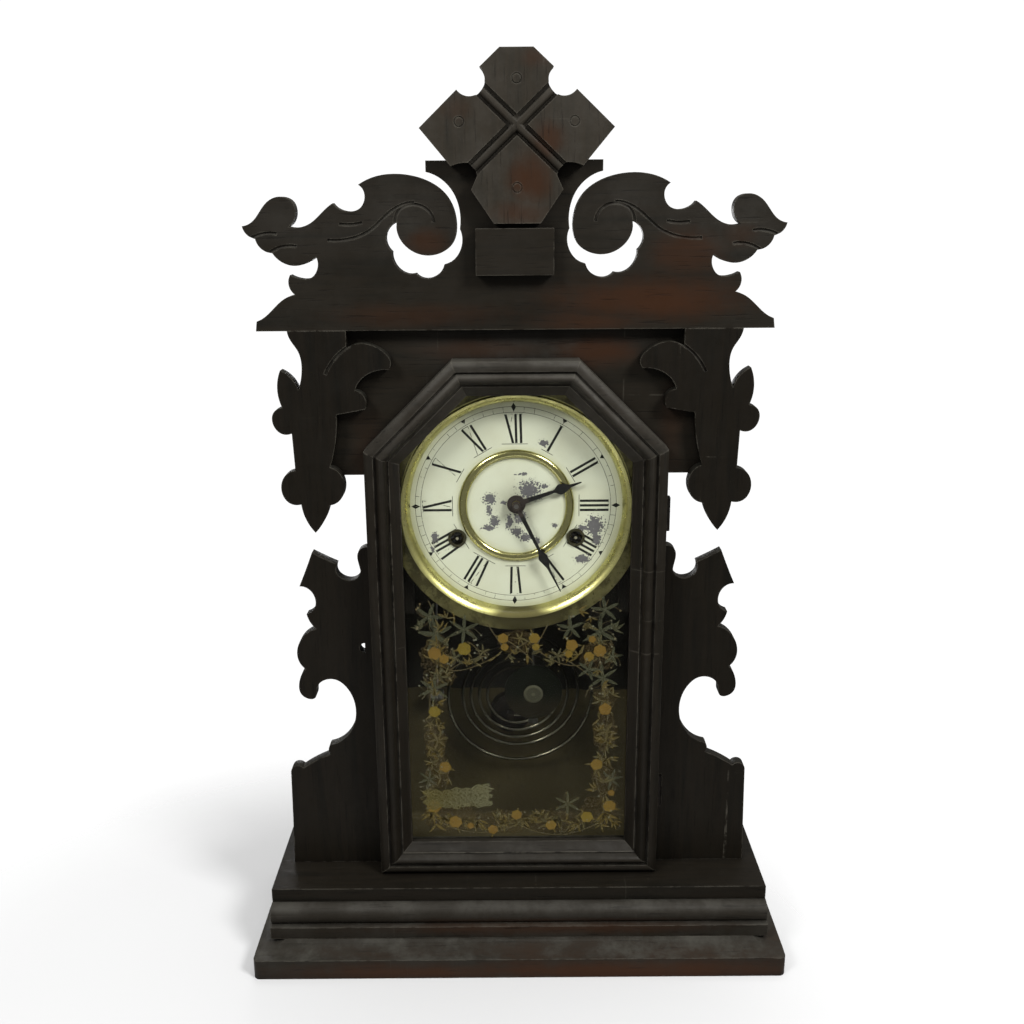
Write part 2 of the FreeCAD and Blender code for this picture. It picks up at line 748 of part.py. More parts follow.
def finial():
    """Four carved blades round two crossed beads, in one board on the crest's neck."""
    front = size.fretwork_front - size.finial_thick
    foot = size.crest_z + size.finial_foot
    middle = size.finial_aside
    measures = (size.finial_half_width, size.finial_height, foot, front)
    right = board_outline(FINIAL_SHARES, *measures, middle=middle)
    left = board_outline(FINIAL_SHARES, *measures, side=-1, middle=middle)
    board = slab("finial_blank", face_of(right + left[::-1]), "finial_thick")
    cross = point(middle, front, foot + size.finial_cross_rise)
    tools, beads = [], []
    for side in (-1, 1):
        name = "left" if side < 0 else "right"
        turn = FreeCAD.Rotation(BACK, side * size.finial_cross_angle)
        along = turn.multVec(UP)
        groove = add("Part::Box", f"finial_groove_{name}")
        corner = turn.multVec(point(-size.finial_groove / 2, -size.overrun, -size.finial_arm_down))
        groove.Placement = FreeCAD.Placement(cross + corner, turn)
        bind(groove, Length="finial_groove", Width="overrun + finial_groove_deep",
             Height="finial_arm_up + finial_arm_down + overrun")
        tools.append(groove)
        bead = add("Part::Cylinder", f"finial_bead_{name}")
        start = cross - along * size.finial_arm_down + BACK * size.finial_groove_deep
        bead.Placement = FreeCAD.Placement(start, turn)
        bind(bead, Radius="finial_bead", Height="finial_arm_up + finial_arm_down")
        flush = add("Part::MultiCommon", f"finial_bead_flush_{name}")
        flush.Shapes = [bead, board]
        beads.append(flush)
    for i, (x, z) in enumerate(FINIAL_MARK_SHARES):
        spot = point(middle + x * size.finial_half_width, front, foot + z * size.finial_height)
        ring = Part.makeTorus(size.finial_mark, size.finial_mark_line, spot, BACK)
        tools.append(made(f"finial_mark_{i}", ring))
    carved = cut("finial_carved", board, *tools)
    keep(join("finial_carving", carved, *beads))


def crest_trim():
    keep(box("crest_block", ("-block_half_width", "fretwork_front - block_thick", "crest_z + block_foot"),
             "2 * block_half_width", "block_thick", "block_height"))


def glue_blocks():
    """Three-cornered blocks behind the ears and the head panel, glued to the case sides."""
    blocks = []
    places = (("low", size.case_front + size.ear_board_thick, size.platform_z, "glue_block_low"),
              ("high", size.panel_back, size.dial_z + size.panel_foot, "glue_block_high"))
    for name, back, foot, high in places:
        for side in (-1, 1):
            corner = point(side * size.case_half, back, foot)
            out = corner + FreeCAD.Vector(side * size.glue_block, 0, 0)
            behind = corner + BACK * size.glue_block
            item = add("Part::Extrusion", f"glue_block_{name}_{side + 1}")
            item.Base = made(f"glue_section_{name}_{side + 1}", Part.Face(polygon([corner, out, behind])))
            item.DirMode = "Custom"
            item.Dir = UP
            item.Solid = True
            blocks.append(bind(item, LengthFwd=high))
    keep(group("glue_blocks", *blocks))


# Door

def door_corners(inward):
    """Corners of the door's outline, the given distance in from its edge, clockwise from the lower left."""
    half = size.door_half - inward
    reach = half * math.tan(math.radians(size.half_side_angle))
    foot = size.door_foot + inward
    return [(-half, foot), (-half, size.dial_z + reach), (-reach, size.dial_z + half),
            (reach, size.dial_z + half), (half, size.dial_z + reach), (half, foot)]


DOOR_SHARES = [
    [(0.0, 0.0), (0.0, 0.806)],
    [(0.0, 0.806), (0.090, 0.905), (0.282, 0.944)],
    [(0.282, 0.944), (0.282, 0.844)],
    [(0.282, 0.844), (0.335, 0.844)],
    [(0.335, 0.844), (0.493, 1.0), (0.670, 0.789)],
    [(0.670, 0.789), (0.708, 0.789)],
    [(0.708, 0.789), (0.708, 0.828)],
    [(0.708, 0.828), (0.850, 0.700), (1.0, 0.589)],
]


def door_profile():
    """Section of the frame moulding: strokes of (distance in from the edge, height over the door's back)."""
    member, seat, deep = size.door_member, size.door_member - size.door_rabbet, size.door_rabbet_deep
    front = [[(x * member, z * size.door_thick) for x, z in line] for line in DOOR_SHARES]
    corners = [front[-1][-1], (member, deep), (seat, deep), (seat, 0), (0, 0)]
    return front + [[a, b] for a, b in zip(corners, corners[1:])]


def mitred(name, corner, following):
    """One member of the door frame, mitred at both ends: a ruled loft between its end sections."""
    outer = door_corners(0)
    inner = door_corners(size.door_member)

    def section(index):
        ox, oz = outer[index]
        ix, iz = inner[index]

        def place(inward, lift):
            share = inward / size.door_member
            return point(ox + (ix - ox) * share, size.case_front - lift, oz + (iz - oz) * share)
        edges = []
        for line in door_profile():
            ends = [place(*spot) for spot in line]
            if len(ends) == 2:
                edges.append(Part.makeLine(*ends))
            else:
                curve = Part.BSplineCurve()
                curve.interpolate(ends)
                edges.append(curve.toShape())
        return Part.Wire(edges)
    return made(name, Part.makeLoft([section(corner), section(following)], True, True))


def door():
    """Six mitred members round the eight-sided head: two stiles, two rails and two short diagonals."""
    keep(mitred("door_stile_left", 0, 1))
    keep(mitred("door_top_rail", 2, 3))
    keep(mitred("door_stile_right", 4, 5))
    keep(mitred("door_bottom_rail", 5, 0))
    keep(group("door_diagonals", mitred("door_diagonal_left", 1, 2), mitred("door_diagonal_right", 3, 4)))


def door_glass():
    """One pane in the rabbet, held by thin strips behind it."""
    edge = size.door_member - size.door_rabbet + size.glass_play
    pane = [point(x, size.glass_front, z) for x, z in door_corners(edge)]
    keep(slab("door_glass", Part.Face(polygon(pane)), "glass_thick"))
    back = size.glass_front + size.glass_thick
    outer = door_corners(edge)
    inner = door_corners(edge + size.strip_wide)
    strips = []
    for i in range(len(outer)):
        j = (i + 1) % len(outer)
        quad = [point(x, back, z) for x, z in (outer[i], outer[j], inner[j], inner[i])]
        strips.append(slab(f"glazing_strip_{i}", Part.Face(polygon(quad)), "strip_thick"))
    keep(group("glazing_strips", *strips))


def hinges():
    """Two small butt hinges: the door leaf carries the outer knuckles, the case leaf the middle one and pin."""
    case_leaves, door_leaves = [], []
    for name, middle in (("upper", "hinge_upper_z"), ("lower", "hinge_lower_z")):
        third = "hinge_height / 3"
        foot = f"{middle} - hinge_height / 2"
        axis = ("hinge_axis_x", "case_front")
        whole = FreeCAD.Rotation()
        knuckle = rod(f"{name}_case_knuckle", axis + (f"{middle} - {third} / 2 + hinge_gap",),
                      "hinge_knuckle", f"{third} - 2 * hinge_gap", whole)
        leaf = box(f"{name}_case_leaf_blank", ("door_half", "case_front", foot),
                   "hinge_leaf", "hinge_leaf_wide", "hinge_height")
        room = [rod(f"{name}_case_room_{i}", axis + (start,), "hinge_knuckle + hinge_gap",
                    f"{third} + hinge_gap", whole)
                for i, start in enumerate((foot, f"{middle} + {third} / 2 - hinge_gap"))]
        pin = rod(f"{name}_pin", axis + (f"{foot} - hinge_gap",), "hinge_pin",
                  "hinge_height + 2 * hinge_gap", whole)
        head = rod(f"{name}_pin_head", axis + (f"{foot} + hinge_height + hinge_gap",), "hinge_pin_head",
                   "hinge_leaf", whole)
        case_leaves.append(join(f"{name}_case_leaf", cut(f"{name}_case_plate", leaf, *room), knuckle, pin, head))
        ends = [rod(f"{name}_door_knuckle_{i}", axis + (start,), "hinge_knuckle",
                    f"{third} - hinge_gap", whole)
                for i, start in enumerate((foot, f"{middle} + {third} / 2 + hinge_gap"))]
        flap = box(f"{name}_door_leaf_blank", ("door_half", "case_front - hinge_leaf_wide", foot),
                   "hinge_leaf", "hinge_leaf_wide", "hinge_height")
        gap = rod(f"{name}_door_room", axis + (f"{middle} - {third} / 2 - hinge_gap",),
                  "hinge_knuckle + hinge_gap", f"{third} + 2 * hinge_gap", whole)
        bore = rod(f"{name}_door_bore", axis + (f"{foot} - overrun",), "hinge_pin + hinge_fit",
                   "hinge_height + 2 * overrun", whole)
        plate = cut(f"{name}_door_plate", flap, gap)
        door_leaves.append(cut(f"{name}_door_leaf", join(f"{name}_door_solid", plate, *ends), bore))
    keep(group("hinge_case_leaves", *case_leaves))
    keep(group("hinge_door_leaves", *door_leaves))


def door_catch():
    """A bent spring clip on the back of the left stile, which grips behind the case side."""
    x, z = "-case_inner + catch_thick", "door_foot + catch_above_door"
    foot = box("catch_foot_plate", (x, "case_front", z), "catch_foot", "catch_thick", "catch_high")
    tongue = box("catch_tongue", (x, "case_front", z), "catch_thick", "catch_reach", "catch_high")
    bump = rod("catch_bump", ("-case_inner + 2 * catch_thick", "case_front + catch_reach - catch_thick", z),
               "catch_thick", "catch_high", FreeCAD.Rotation())
    keep(join("door_catch", foot, tongue, bump))


# Dial

def dial():
    """A tin dial with four screw tabs, on two wooden strips inside the case."""
    centre = ("0", "dial_face", "dial_centre_z")
    disc = rod("dial_disc", centre, "dial_radius", "dial_thick")
    tabs, screws = [], []
    for i in range(4):
        side = 1 if i % 2 else -1
        turn = (size.dial_tab_angle if i < 2 else -size.dial_tab_angle) * side
        spot = FreeCAD.Rotation(BACK, -turn).multVec(point(side, 0, 0))
        tab = add("Part::Box", f"dial_tab_{i}")
        turned_box = FreeCAD.Rotation(BACK, -turn)
        low = turned_box.multVec(point(0 if side > 0 else -size.dial_tab_radius, 0, -size.dial_tab_wide / 2))
        tab.Placement = FreeCAD.Placement(point(0, size.dial_face, size.dial_centre_z) + low, turned_box)
        tabs.append(bind(tab, Length="dial_tab_radius", Width="dial_thick", Height="dial_tab_wide"))
        screws.append(spot * size.dial_screw_circle + point(0, size.dial_face, size.dial_centre_z))
    holes = [rod("dial_centre_hole", ("0", "dial_face - overrun", "dial_z"), "dial_hole", "2 * overrun")]
    for side, x in (("left", "-winding_x"), ("right", "winding_x")):
        holes.append(rod(f"dial_winding_hole_{side}", (x, "dial_face - overrun", "winding_z"),
                         "winding_hole", "2 * overrun"))
    for i, spot in enumerate(screws):
        hole = made(f"dial_screw_hole_{i}", Part.makeCylinder(
            size.screw_shank + size.pivot_play, 2 * size.overrun, spot - BACK * size.overrun, BACK))
        holes.append(hole)
    keep(cut("dial_plate", join("dial_blank", disc, *tabs), *holes))
    return screws


def bezel_section():
    """Half section of the spun bezel: undercut inner wall, round band, step and thin flange with a rolled edge."""
    def spot(radius, proud):
        return point(radius, size.dial_face - proud, size.dial_centre_z)
    band = [spot(size.bezel_inner, size.bezel_inner_proud), spot(size.bezel_swell, size.bezel_swell_proud),
            spot(size.bezel_crest, size.bezel_proud)]
    step = spot(size.bezel_wall, size.bezel_flange_proud)
    behind = size.bezel_flange_proud - size.bezel_metal
    roll = size.bezel_flange - size.bezel_metal / 2
    edge = [spot(roll, size.bezel_flange_proud), spot(size.bezel_flange, behind + size.bezel_metal / 2),
            spot(roll, behind)]
    back = size.bezel_wall + size.bezel_metal
    edges = [stroke(band), stroke([band[-1], step]), stroke([step, edge[0]]), stroke(edge)]
    return face_of(close_through(edges, [spot(back, behind), spot(back, 0), spot(size.bezel_seat, 0)]))


def centre_ring_section():
    """Half section of the round ring within the numerals: a flat back under one bow."""
    def spot(radius, proud):
        return point(radius, size.dial_face - proud, size.dial_centre_z)
    inner, outer, proud = size.centre_ring_inner, size.centre_ring_outer, size.centre_ring_proud
    lip = size.centre_ring_lip
    bow = stroke([spot(outer, lip), spot((inner + outer) / 2, proud), spot(inner, lip)])
    return face_of(close_through([bow], [spot(inner, 0), spot(outer, 0)]))


def dial_rings():
    centre = point(0, 0, size.dial_centre_z)
    keep(turned("dial_bezel", bezel_section(), centre))
    keep(turned("dial_centre_ring", centre_ring_section(), centre))
    grommets = []
    for side, x in (("left", "-winding_x"), ("right", "winding_x")):
        flange = rod(f"grommet_flange_{side}", (x, "dial_face - grommet_proud", "winding_z"),
                     "grommet_outer", "grommet_proud")
        bore = rod(f"grommet_bore_{side}", (x, "dial_face - overrun", "winding_z"),
                   "winding_hole - grommet_proud / 2", "2 * overrun")
        grommets.append(cut(f"grommet_{side}", flange, bore))
    keep(group("winding_grommets", *grommets))


def inner_battens():
    """Two upright strips that carry the dial and two rails that carry the movement."""
    foot = "dial_z - support_high / 2"
    strips = [box("dial_support_left", ("-case_inner", "panel_back", foot),
                  "support_wide", "plate_behind_panel", "support_high"),
              box("dial_support_right", ("case_inner - support_wide", "panel_back", foot),
                  "support_wide", "plate_behind_panel", "support_high")]
    rails = [box(f"movement_rail_{name}", ("-case_inner", "rear_plate_back", z),
                 "2 * case_inner", "rail_thick", "rail_high")
             for name, z in (("lower", "dial_z - plate_half_height - lug_rise - rail_high / 3"),
                             ("upper", "dial_z + plate_half_height + lug_rise - rail_high * 2 / 3"))]
    return strips, rails


def wood_screw(name, head, length):
    """A round-headed screw; the head's back sits at the place given."""
    top = Part.makeCylinder(size.screw_head, size.screw_head_thick, head - BACK * size.screw_head_thick, BACK)
    shank = Part.makeCylinder(size.screw_shank, length, head, BACK)
    return made(name, top.fuse(shank).removeSplitter())


def screw_hole(name, head, length):
    """The hole that a screw's shank fills in the wood."""
    return made(name, Part.makeCylinder(size.screw_shank, length, head, BACK))


def screws_and_battens(dial_screws):
    """The short wood screws: four in the dial's tabs and four in the movement's lugs."""
    strips, rails = inner_battens()
    lug_x = size.plate_half_width - size.lug_wide / 2
    lug_z = size.plate_half_height + size.lug_rise / 2
    lugs = [point(sx * lug_x, size.rear_plate_front, size.dial_z + sz * lug_z)
            for sx in (-1, 1) for sz in (-1, 1)]
    spots = dial_screws + lugs
    screws = [wood_screw(f"screw_{i}", spot, size.screw_length) for i, spot in enumerate(spots)]
    holes = [screw_hole(f"screw_hole_{i}", spot, size.screw_length) for i, spot in enumerate(spots)]
    bored = [cut(f"{item.Name}_bored", item, *chosen) for item, chosen in (
        (strips[0], [holes[0], holes[2]]), (strips[1], [holes[1], holes[3]]),
        (rails[0], [holes[4], holes[6]]), (rails[1], [holes[5], holes[7]]))]
    keep(group("inner_battens", *bored))
    keep(group("wood_screws", *screws))
    return lugs


def gong_screw_head():
    """Where the head of the gong's screw sits, on its foot above the post."""
    rise = size.gong_base_radius - size.screw_head - size.screw_shank
    return point(-size.gong_post_x, size.gong_y + size.gong_wire + size.gong_base_gap,
                 size.gong_z - size.gong_start + rise)


# Movement frame

def train_places():
    """Centres of the arbors in the front view, as (x, z), from the distances between meshing wheels."""
    centre = (0.0, size.dial_z)
    escape = (size.pendulum_x, size.escape_z)
    main = (size.winding_x, size.winding_z)
    strike_main = (-size.winding_x, size.winding_z)
    third = circles_meet(centre, size.centre_distance, escape, size.third_distance, -1)
    second = circles_meet(main, size.main_distance, centre, size.second_distance, -1)
    bearing = math.radians(size.strike_bearing_angle)
    strike = (strike_main[0] + size.main_distance * math.cos(bearing),
              strike_main[1] + size.main_distance * math.sin(bearing))
    bearing = math.radians(size.fly_bearing_angle)
    reach = size.strike_wheel + size.strike_lantern
    fly = (strike[0] + reach * math.cos(bearing), strike[1] + reach * math.sin(bearing))
    hammer = (-size.hammer_x, size.hammer_z)
    return {"centre": centre, "escape": escape, "main": main, "strike_main": strike_main,
            "third": third, "second": second, "strike": strike, "fly": fly, "hammer": hammer}


def circles_meet(a, ra, b, rb, side):
    """Where two circles meet, on the side given of the line from a to b."""
    dx, dz = b[0] - a[0], b[1] - a[1]
    gap = math.hypot(dx, dz)
    along = (ra * ra - rb * rb + gap * gap) / (2 * gap)
    across = math.sqrt(ra * ra - along * along) * side
    return (a[0] + (dx * along + dz * across) / gap, a[1] + (dz * along - dx * across) / gap)


def pivot_holes(arbors):
    """Round holes through a plate, one at each arbor, as one compound."""
    drills = [Part.makeCylinder(radius + size.pivot_play, 3 * size.overrun,
                                point(x, size.plate_front - size.overrun, z), BACK)
              for (x, z), radius in arbors]
    return Part.makeCompound(drills)


def plates(places, lugs, stud):
    """The two brass plates, windowed between the arbors, and the four pillars with their nuts."""
    corners = [(sx, sz) for sx in (-1, 1) for sz in (-1, 1)]
    thin = [(places[name], size.arbor_thin) for name in ("third", "second", "escape", "strike", "fly")]
    wound = [(places[name], size.winding_arbor) for name in ("main", "strike_main")]
    hammer = [(places["hammer"], size.hammer_arbor)]
    centre = [(places["centre"], size.minute_arbor)]
    pillars = [((sx * size.pillar_x, size.dial_z + sz * size.pillar_z), size.pillar_radius / 2)
               for sx, sz in corners]
    verge = [((size.pendulum_x, size.verge_z), size.arbor_thin)]
    wide, high = size.plate_half_width, size.plate_half_height
    lug_wide, lug_rise = size.lug_wide, size.lug_rise

    def outline(front, with_lugs):
        z = size.dial_z
        if not with_lugs:
            return [point(x, front, zz) for x, zz in
                    ((-wide, z - high), (-wide, z + high), (wide, z + high), (wide, z - high))]
        inner, tall = wide - lug_wide, high + lug_rise
        half = [(wide, high), (wide, tall), (inner, tall), (inner, high)]
        loop = [(x, zz) for x, zz in half] + [(-x, zz) for x, zz in half[::-1]]
        loop += [(-x, -zz) for x, zz in half] + [(x, -zz) for x, zz in half[::-1]]
        return [point(x, front, z + zz) for x, zz in loop]

    both = 2 * size.plate_thick
    front_holes = made("front_pivots", pivot_holes(thin + wound + hammer + centre + pillars + verge))
    rear_holes = made("rear_pivots", pivot_holes(thin + wound + hammer + centre + pillars))
    windows = made("plate_windows", plate_windows(places))
    front = slab("front_plate_blank", Part.Face(polygon(outline(size.plate_front, False))), "plate_thick")
    rear = slab("back_plate_blank", Part.Face(polygon(outline(size.rear_plate_front, True))), "plate_thick")
    drills = [made(f"lug_hole_{i}", Part.makeCylinder(size.screw_shank, 2 * size.overrun,
                                                      spot - BACK * size.overrun, BACK))
              for i, spot in enumerate(lugs)]
    block = box("suspension_block", ("pendulum_x - suspension_block / 2",
                                     "pendulum_y - suspension_block / 2", "suspension_z + running_gap"),
                "suspension_block", "plate_front - pendulum_y + suspension_block / 2",
                "suspension_block - running_gap")
    keep(join("front_plate", cut("front_plate_cut", front, front_holes, windows), block, stud))
    keep(cut("back_plate", rear, rear_holes, windows, *drills))
    posts = []
    for i, (sx, sz) in enumerate(corners):
        x, z = sx * size.pillar_x, size.dial_z + sz * size.pillar_z
        body = Part.makeCylinder(size.pillar_radius, size.plate_gap, point(x, size.plate_back, z), BACK)
        stem = Part.makeCylinder(size.pillar_radius / 2, size.plate_gap + both + size.pillar_nut_thick,
                                 point(x, size.plate_front - size.pillar_nut_thick, z), BACK)
        posts.append(made(f"pillar_{i}", body.fuse(stem).removeSplitter()))
        nut = hexagon(x, size.plate_front - size.pillar_nut_thick, z, size.pillar_nut)
        nut = nut.extrude(BACK * size.pillar_nut_thick)
        bore = Part.makeCylinder(size.pillar_radius / 2, 2 * size.overrun,
                                 point(x, size.plate_front - size.overrun, z), BACK)
        posts.append(made(f"pillar_nut_{i}", nut.cut(bore)))
    keep(group("plate_pillars", *posts))


def hexagon(x, y, z, radius):
    corners = [point(x + radius * math.cos(math.radians(60 * i)), y, z + radius * math.sin(math.radians(60 * i)))
               for i in range(6)]
    return Part.Face(polygon(corners))


def plate_windows(places):
    """Round windows that lighten both plates: beside each winding arbor and under the hand arbor."""
    spots = [(side * size.winding_x, size.winding_z + size.plate_half_height, size.window_upper)
             for side in (-1, 1)]
    spots += [(side * size.winding_x, size.winding_z - size.window_drop, size.spring_hub)
              for side in (-1, 1)]
    spots.append((0.0, size.dial_z - size.window_low_drop, size.window_low))
    spots = [spot for spot in spots if clear_of_arbors(spot, places)]
    return Part.makeCompound([Part.makeCylinder(radius, 3 * size.overrun,
                                                point(x, size.plate_front - size.overrun, z), BACK)
                              for x, z, radius in spots])


def clear_of_arbors(spot, places):
    x, z, radius = spot
    return all(math.hypot(x - px, z - pz) > radius + 2 * size.winding_arbor for px, pz in places.values())


# Wheels

def tooth_ring(centre, teeth, pitch_radius, phase, y, depth_shares=(0.55, 1.0), half_shares=(0.10, 0.24)):
    """Outline of a toothed wheel: each tooth a flat-topped wedge, half as wide as given shares of the pitch."""
    module = 2 * pitch_radius / teeth
    tip, root = pitch_radius + module * depth_shares[0], pitch_radius - module * depth_shares[1]
    step = 2 * math.pi / teeth
    corners = []
    for i in range(teeth):
        middle = phase + i * step
        for radius, offset in ((root, -half_shares[1]), (tip, -half_shares[0]),
                               (tip, half_shares[0]), (root, half_shares[1])):
            turn = middle + offset * step
            corners.append(point(centre[0] + radius * math.cos(turn), y, centre[1] + radius * math.sin(turn)))
    return Part.Face(polygon(corners))


def meshing_phase(a, b, teeth_a, phase_a, teeth_b):
    """Angle of a tooth of wheel b, so that its gap faces the tooth of wheel a on the line between them."""
    line = math.atan2(b[1] - a[1], b[0] - a[0])
    share = (line - phase_a) * teeth_a / (2 * math.pi)
    return line + math.pi - (0.5 - share) * 2 * math.pi / teeth_b


def level(name):
    """Front face of a wheel that runs at the named level behind the front plate."""
    return size.plate_back + getattr(size, name)


def toothed(name, centre, teeth, radius, phase, y, thick):
    return slab(name, tooth_ring(centre, teeth, radius, phase, y), thick)


def lantern(name, centre, radius, phase, wheel_front, wheel_thick):
    """A lantern pinion: round leaves between two shrouds, with the meshing wheel halfway between them."""
    leaves = size.lantern_teeth
    leaf = size.leaf_share * 2 * math.pi * radius / leaves
    middle = wheel_front + wheel_thick / 2
    start = middle - size.shroud_gap / 2 - size.shroud_thick
    length = size.shroud_gap + 2 * size.shroud_thick
    x, z = centre
    shape = None
    for y in (start, middle + size.shroud_gap / 2):
        disc = Part.makeCylinder(radius + leaf * size.shroud_share, size.shroud_thick, point(x, y, z), BACK)
        shape = disc if shape is None else shape.fuse(disc)
    for i in range(leaves):
        turn = phase + i * 2 * math.pi / leaves
        spot = point(x + radius * math.cos(turn), start, z + radius * math.sin(turn))
        shape = shape.fuse(Part.makeCylinder(leaf, length, spot, BACK))
    return made(name, shape)


def arbor(name, centre, radius, front, back):
    x, z = centre
    return made(name, Part.makeCylinder(radius, back - front, point(x, front, z), BACK))


def going_train(places):
    """Wheels and lantern pinions from the mainspring up to the escape wheel, each one piece with its arbor."""
    front, back = size.plate_front, size.rear_plate_back
    leaves = size.lantern_teeth

    def split(distance, teeth):
        wheel = distance * teeth / (teeth + leaves)
        return wheel, distance - wheel
    main_r, second_leaf_r = split(size.main_distance, size.main_teeth)
    second_r, centre_leaf_r = split(size.second_distance, size.second_teeth)
    centre_r, third_leaf_r = split(size.centre_distance, size.centre_teeth)
    third_r, escape_leaf_r = split(size.third_distance, size.third_teeth)

    main_phase = 0.0
    second_leaf = meshing_phase(places["main"], places["second"], size.main_teeth, main_phase, leaves)
    second_phase = 0.0
    centre_leaf = meshing_phase(places["second"], places["centre"], size.second_teeth, second_phase, leaves)
    centre_phase = 0.0
    third_leaf = meshing_phase(places["centre"], places["third"], size.centre_teeth, centre_phase, leaves)
    third_phase = 0.0
    escape_leaf = meshing_phase(places["third"], places["escape"], size.third_teeth, third_phase, leaves)

    main_wheel("time_main_wheel", places["main"], main_r, main_phase)
    wheel_piece("second_wheel", places["second"], size.second_teeth, second_r, second_phase, "second_level",
                (second_leaf_r, second_leaf, "main_level", size.main_thick), front, back)
    wheel = toothed("centre_teeth_disc", places["centre"], size.centre_teeth, centre_r, centre_phase,
                    level("centre_level"), "wheel_thick")
    pinion = lantern("centre_lantern", places["centre"], centre_leaf_r, centre_leaf,
                     level("second_level"), size.wheel_thick)
    hub = rod("centre_hub", ("0", "plate_back + centre_level", "dial_z"), "centre_hub",
              "second_level - centre_level - shroud_gap / 4")
    bore = arbor("centre_bore", places["centre"], size.arbor_bore, size.plate_front, size.rear_plate_back)
    keep(cut("centre_wheel", join("centre_wheel_solid", wheel, pinion, hub), bore))
    keep(join("hand_arbor", *minute_stem(places)))
    wheel_piece("third_wheel", places["third"], size.third_teeth, third_r, third_phase, "third_level",
                (third_leaf_r, third_leaf, "centre_level", size.wheel_thick), front, back)
    escape_wheel(places, escape_leaf_r, escape_leaf)


def wheel_piece(name, centre, teeth, radius, phase, at_level, leaf, front, back):
    """A wheel with its lantern pinion, both on one thin arbor that turns in both plates."""
    wheel = toothed(f"{name}_disc", centre, teeth, radius, phase, level(at_level), "wheel_thick")
    leaf_radius, leaf_phase, leaf_level, meshing_thick = leaf
    pinion = lantern(f"{name}_lantern", centre, leaf_radius, leaf_phase, level(leaf_level), meshing_thick)
    stem = arbor(f"{name}_stem", centre, size.arbor_thin, front, back)
    return keep(join(name, wheel, pinion, stem))


def escape_wheel(places, leaf_radius, leaf_phase):
    """The thin wheel with slanting teeth under the verge, one piece with its lantern pinion and arbor."""
    x, z = places["escape"]
    y = level("escape_level")
    step = 2 * math.pi / size.escape_teeth
    tip, root = size.escape_radius, size.escape_radius - size.escape_tooth
    corners = []
    for i in range(size.escape_teeth):
        for radius, share in ((root, 0.0), (tip, 0.30), (tip, 0.40), (root, 0.45)):
            turn = (i + share) * step
            corners.append(point(x + radius * math.cos(turn), y, z + radius * math.sin(turn)))
    wheel = slab("escape_disc", Part.Face(polygon(corners)), "wheel_thick")
    pinion = lantern("escape_lantern", places["escape"], leaf_radius, leaf_phase,
                     level("third_level"), size.wheel_thick)
    stem = arbor("escape_stem", places["escape"], size.arbor_thin, size.plate_front, size.rear_plate_back)
    keep(join("escape_wheel", wheel, pinion, stem))


def main_wheel(name, centre, radius, phase):
    """A great wheel that turns free on its winding arbor, with the click that holds the ratchet."""
    disc = toothed(f"{name}_disc", centre, size.main_teeth, radius, phase, level("main_level"), "main_thick")
    x, z = centre
    bore = made(f"{name}_bore", Part.makeCylinder(size.winding_arbor + size.pivot_play, 2 * size.overrun,
                                                  point(x, level("main_level") - size.overrun, z), BACK))
    reach = size.ratchet_radius + size.click_clear
    click_wide = size.ratchet_depth * 2
    click = made(f"{name}_click", Part.makeBox(click_wide, size.ratchet_thick + size.running_gap, click_wide * 2,
                 point(x + reach, level("main_level") - size.ratchet_thick - size.running_gap, z)))
    return keep(join(name, cut(f"{name}_bored", disc, bore), click))


def winding_arbor(name, centre):
    """A winding arbor: squared front end for the key, a ratchet and a round stem to the back plate."""
    x, z = centre
    half = size.winding_square / 2
    front = size.dial_face - size.winding_proud + size.grommet_proud
    square = Part.makeBox(size.winding_square, size.winding_square_back, size.winding_square,
                          point(x - half, front, z - half))
    start = front + size.winding_square_back
    stem = Part.makeCylinder(size.winding_arbor, size.rear_plate_back - start, point(x, start, z), BACK)
    y = level("main_level") - size.ratchet_thick - size.running_gap / 2
    step = 2 * math.pi / size.ratchet_teeth
    corners = []
    for i in range(size.ratchet_teeth):
        for radius, share in ((size.ratchet_radius, 0.0), (size.ratchet_radius - size.ratchet_depth, 0.08)):
            turn = (i + share) * step
            corners.append(point(x + radius * math.cos(turn), y, z + radius * math.sin(turn)))
    ratchet = Part.Face(polygon(corners)).extrude(BACK * (size.ratchet_thick - size.running_gap / 2))
    return keep(made(name, square.fuse([stem, ratchet]).removeSplitter()))


def mainsprings(places):
    """Both coiled springs, let down to plain drums of their coil, round the winding arbors."""
    drums = []
    for side in ("main", "strike_main"):
        x = places[side][0]
        sign = "-" if x < 0 else ""
        where = (f"{sign}winding_x", "plate_back + spring_level", "winding_z")
        coil = rod(f"{side}_spring_coil", where, "spring_radius", "spring_deep")
        hub = rod(f"{side}_spring_hub", (where[0], "plate_back + spring_level - overrun", where[2]),
                  "spring_hub", "spring_deep + 2 * overrun")
        drums.append(cut(f"{side}_spring", coil, hub))
    keep(group("mainsprings", *drums))


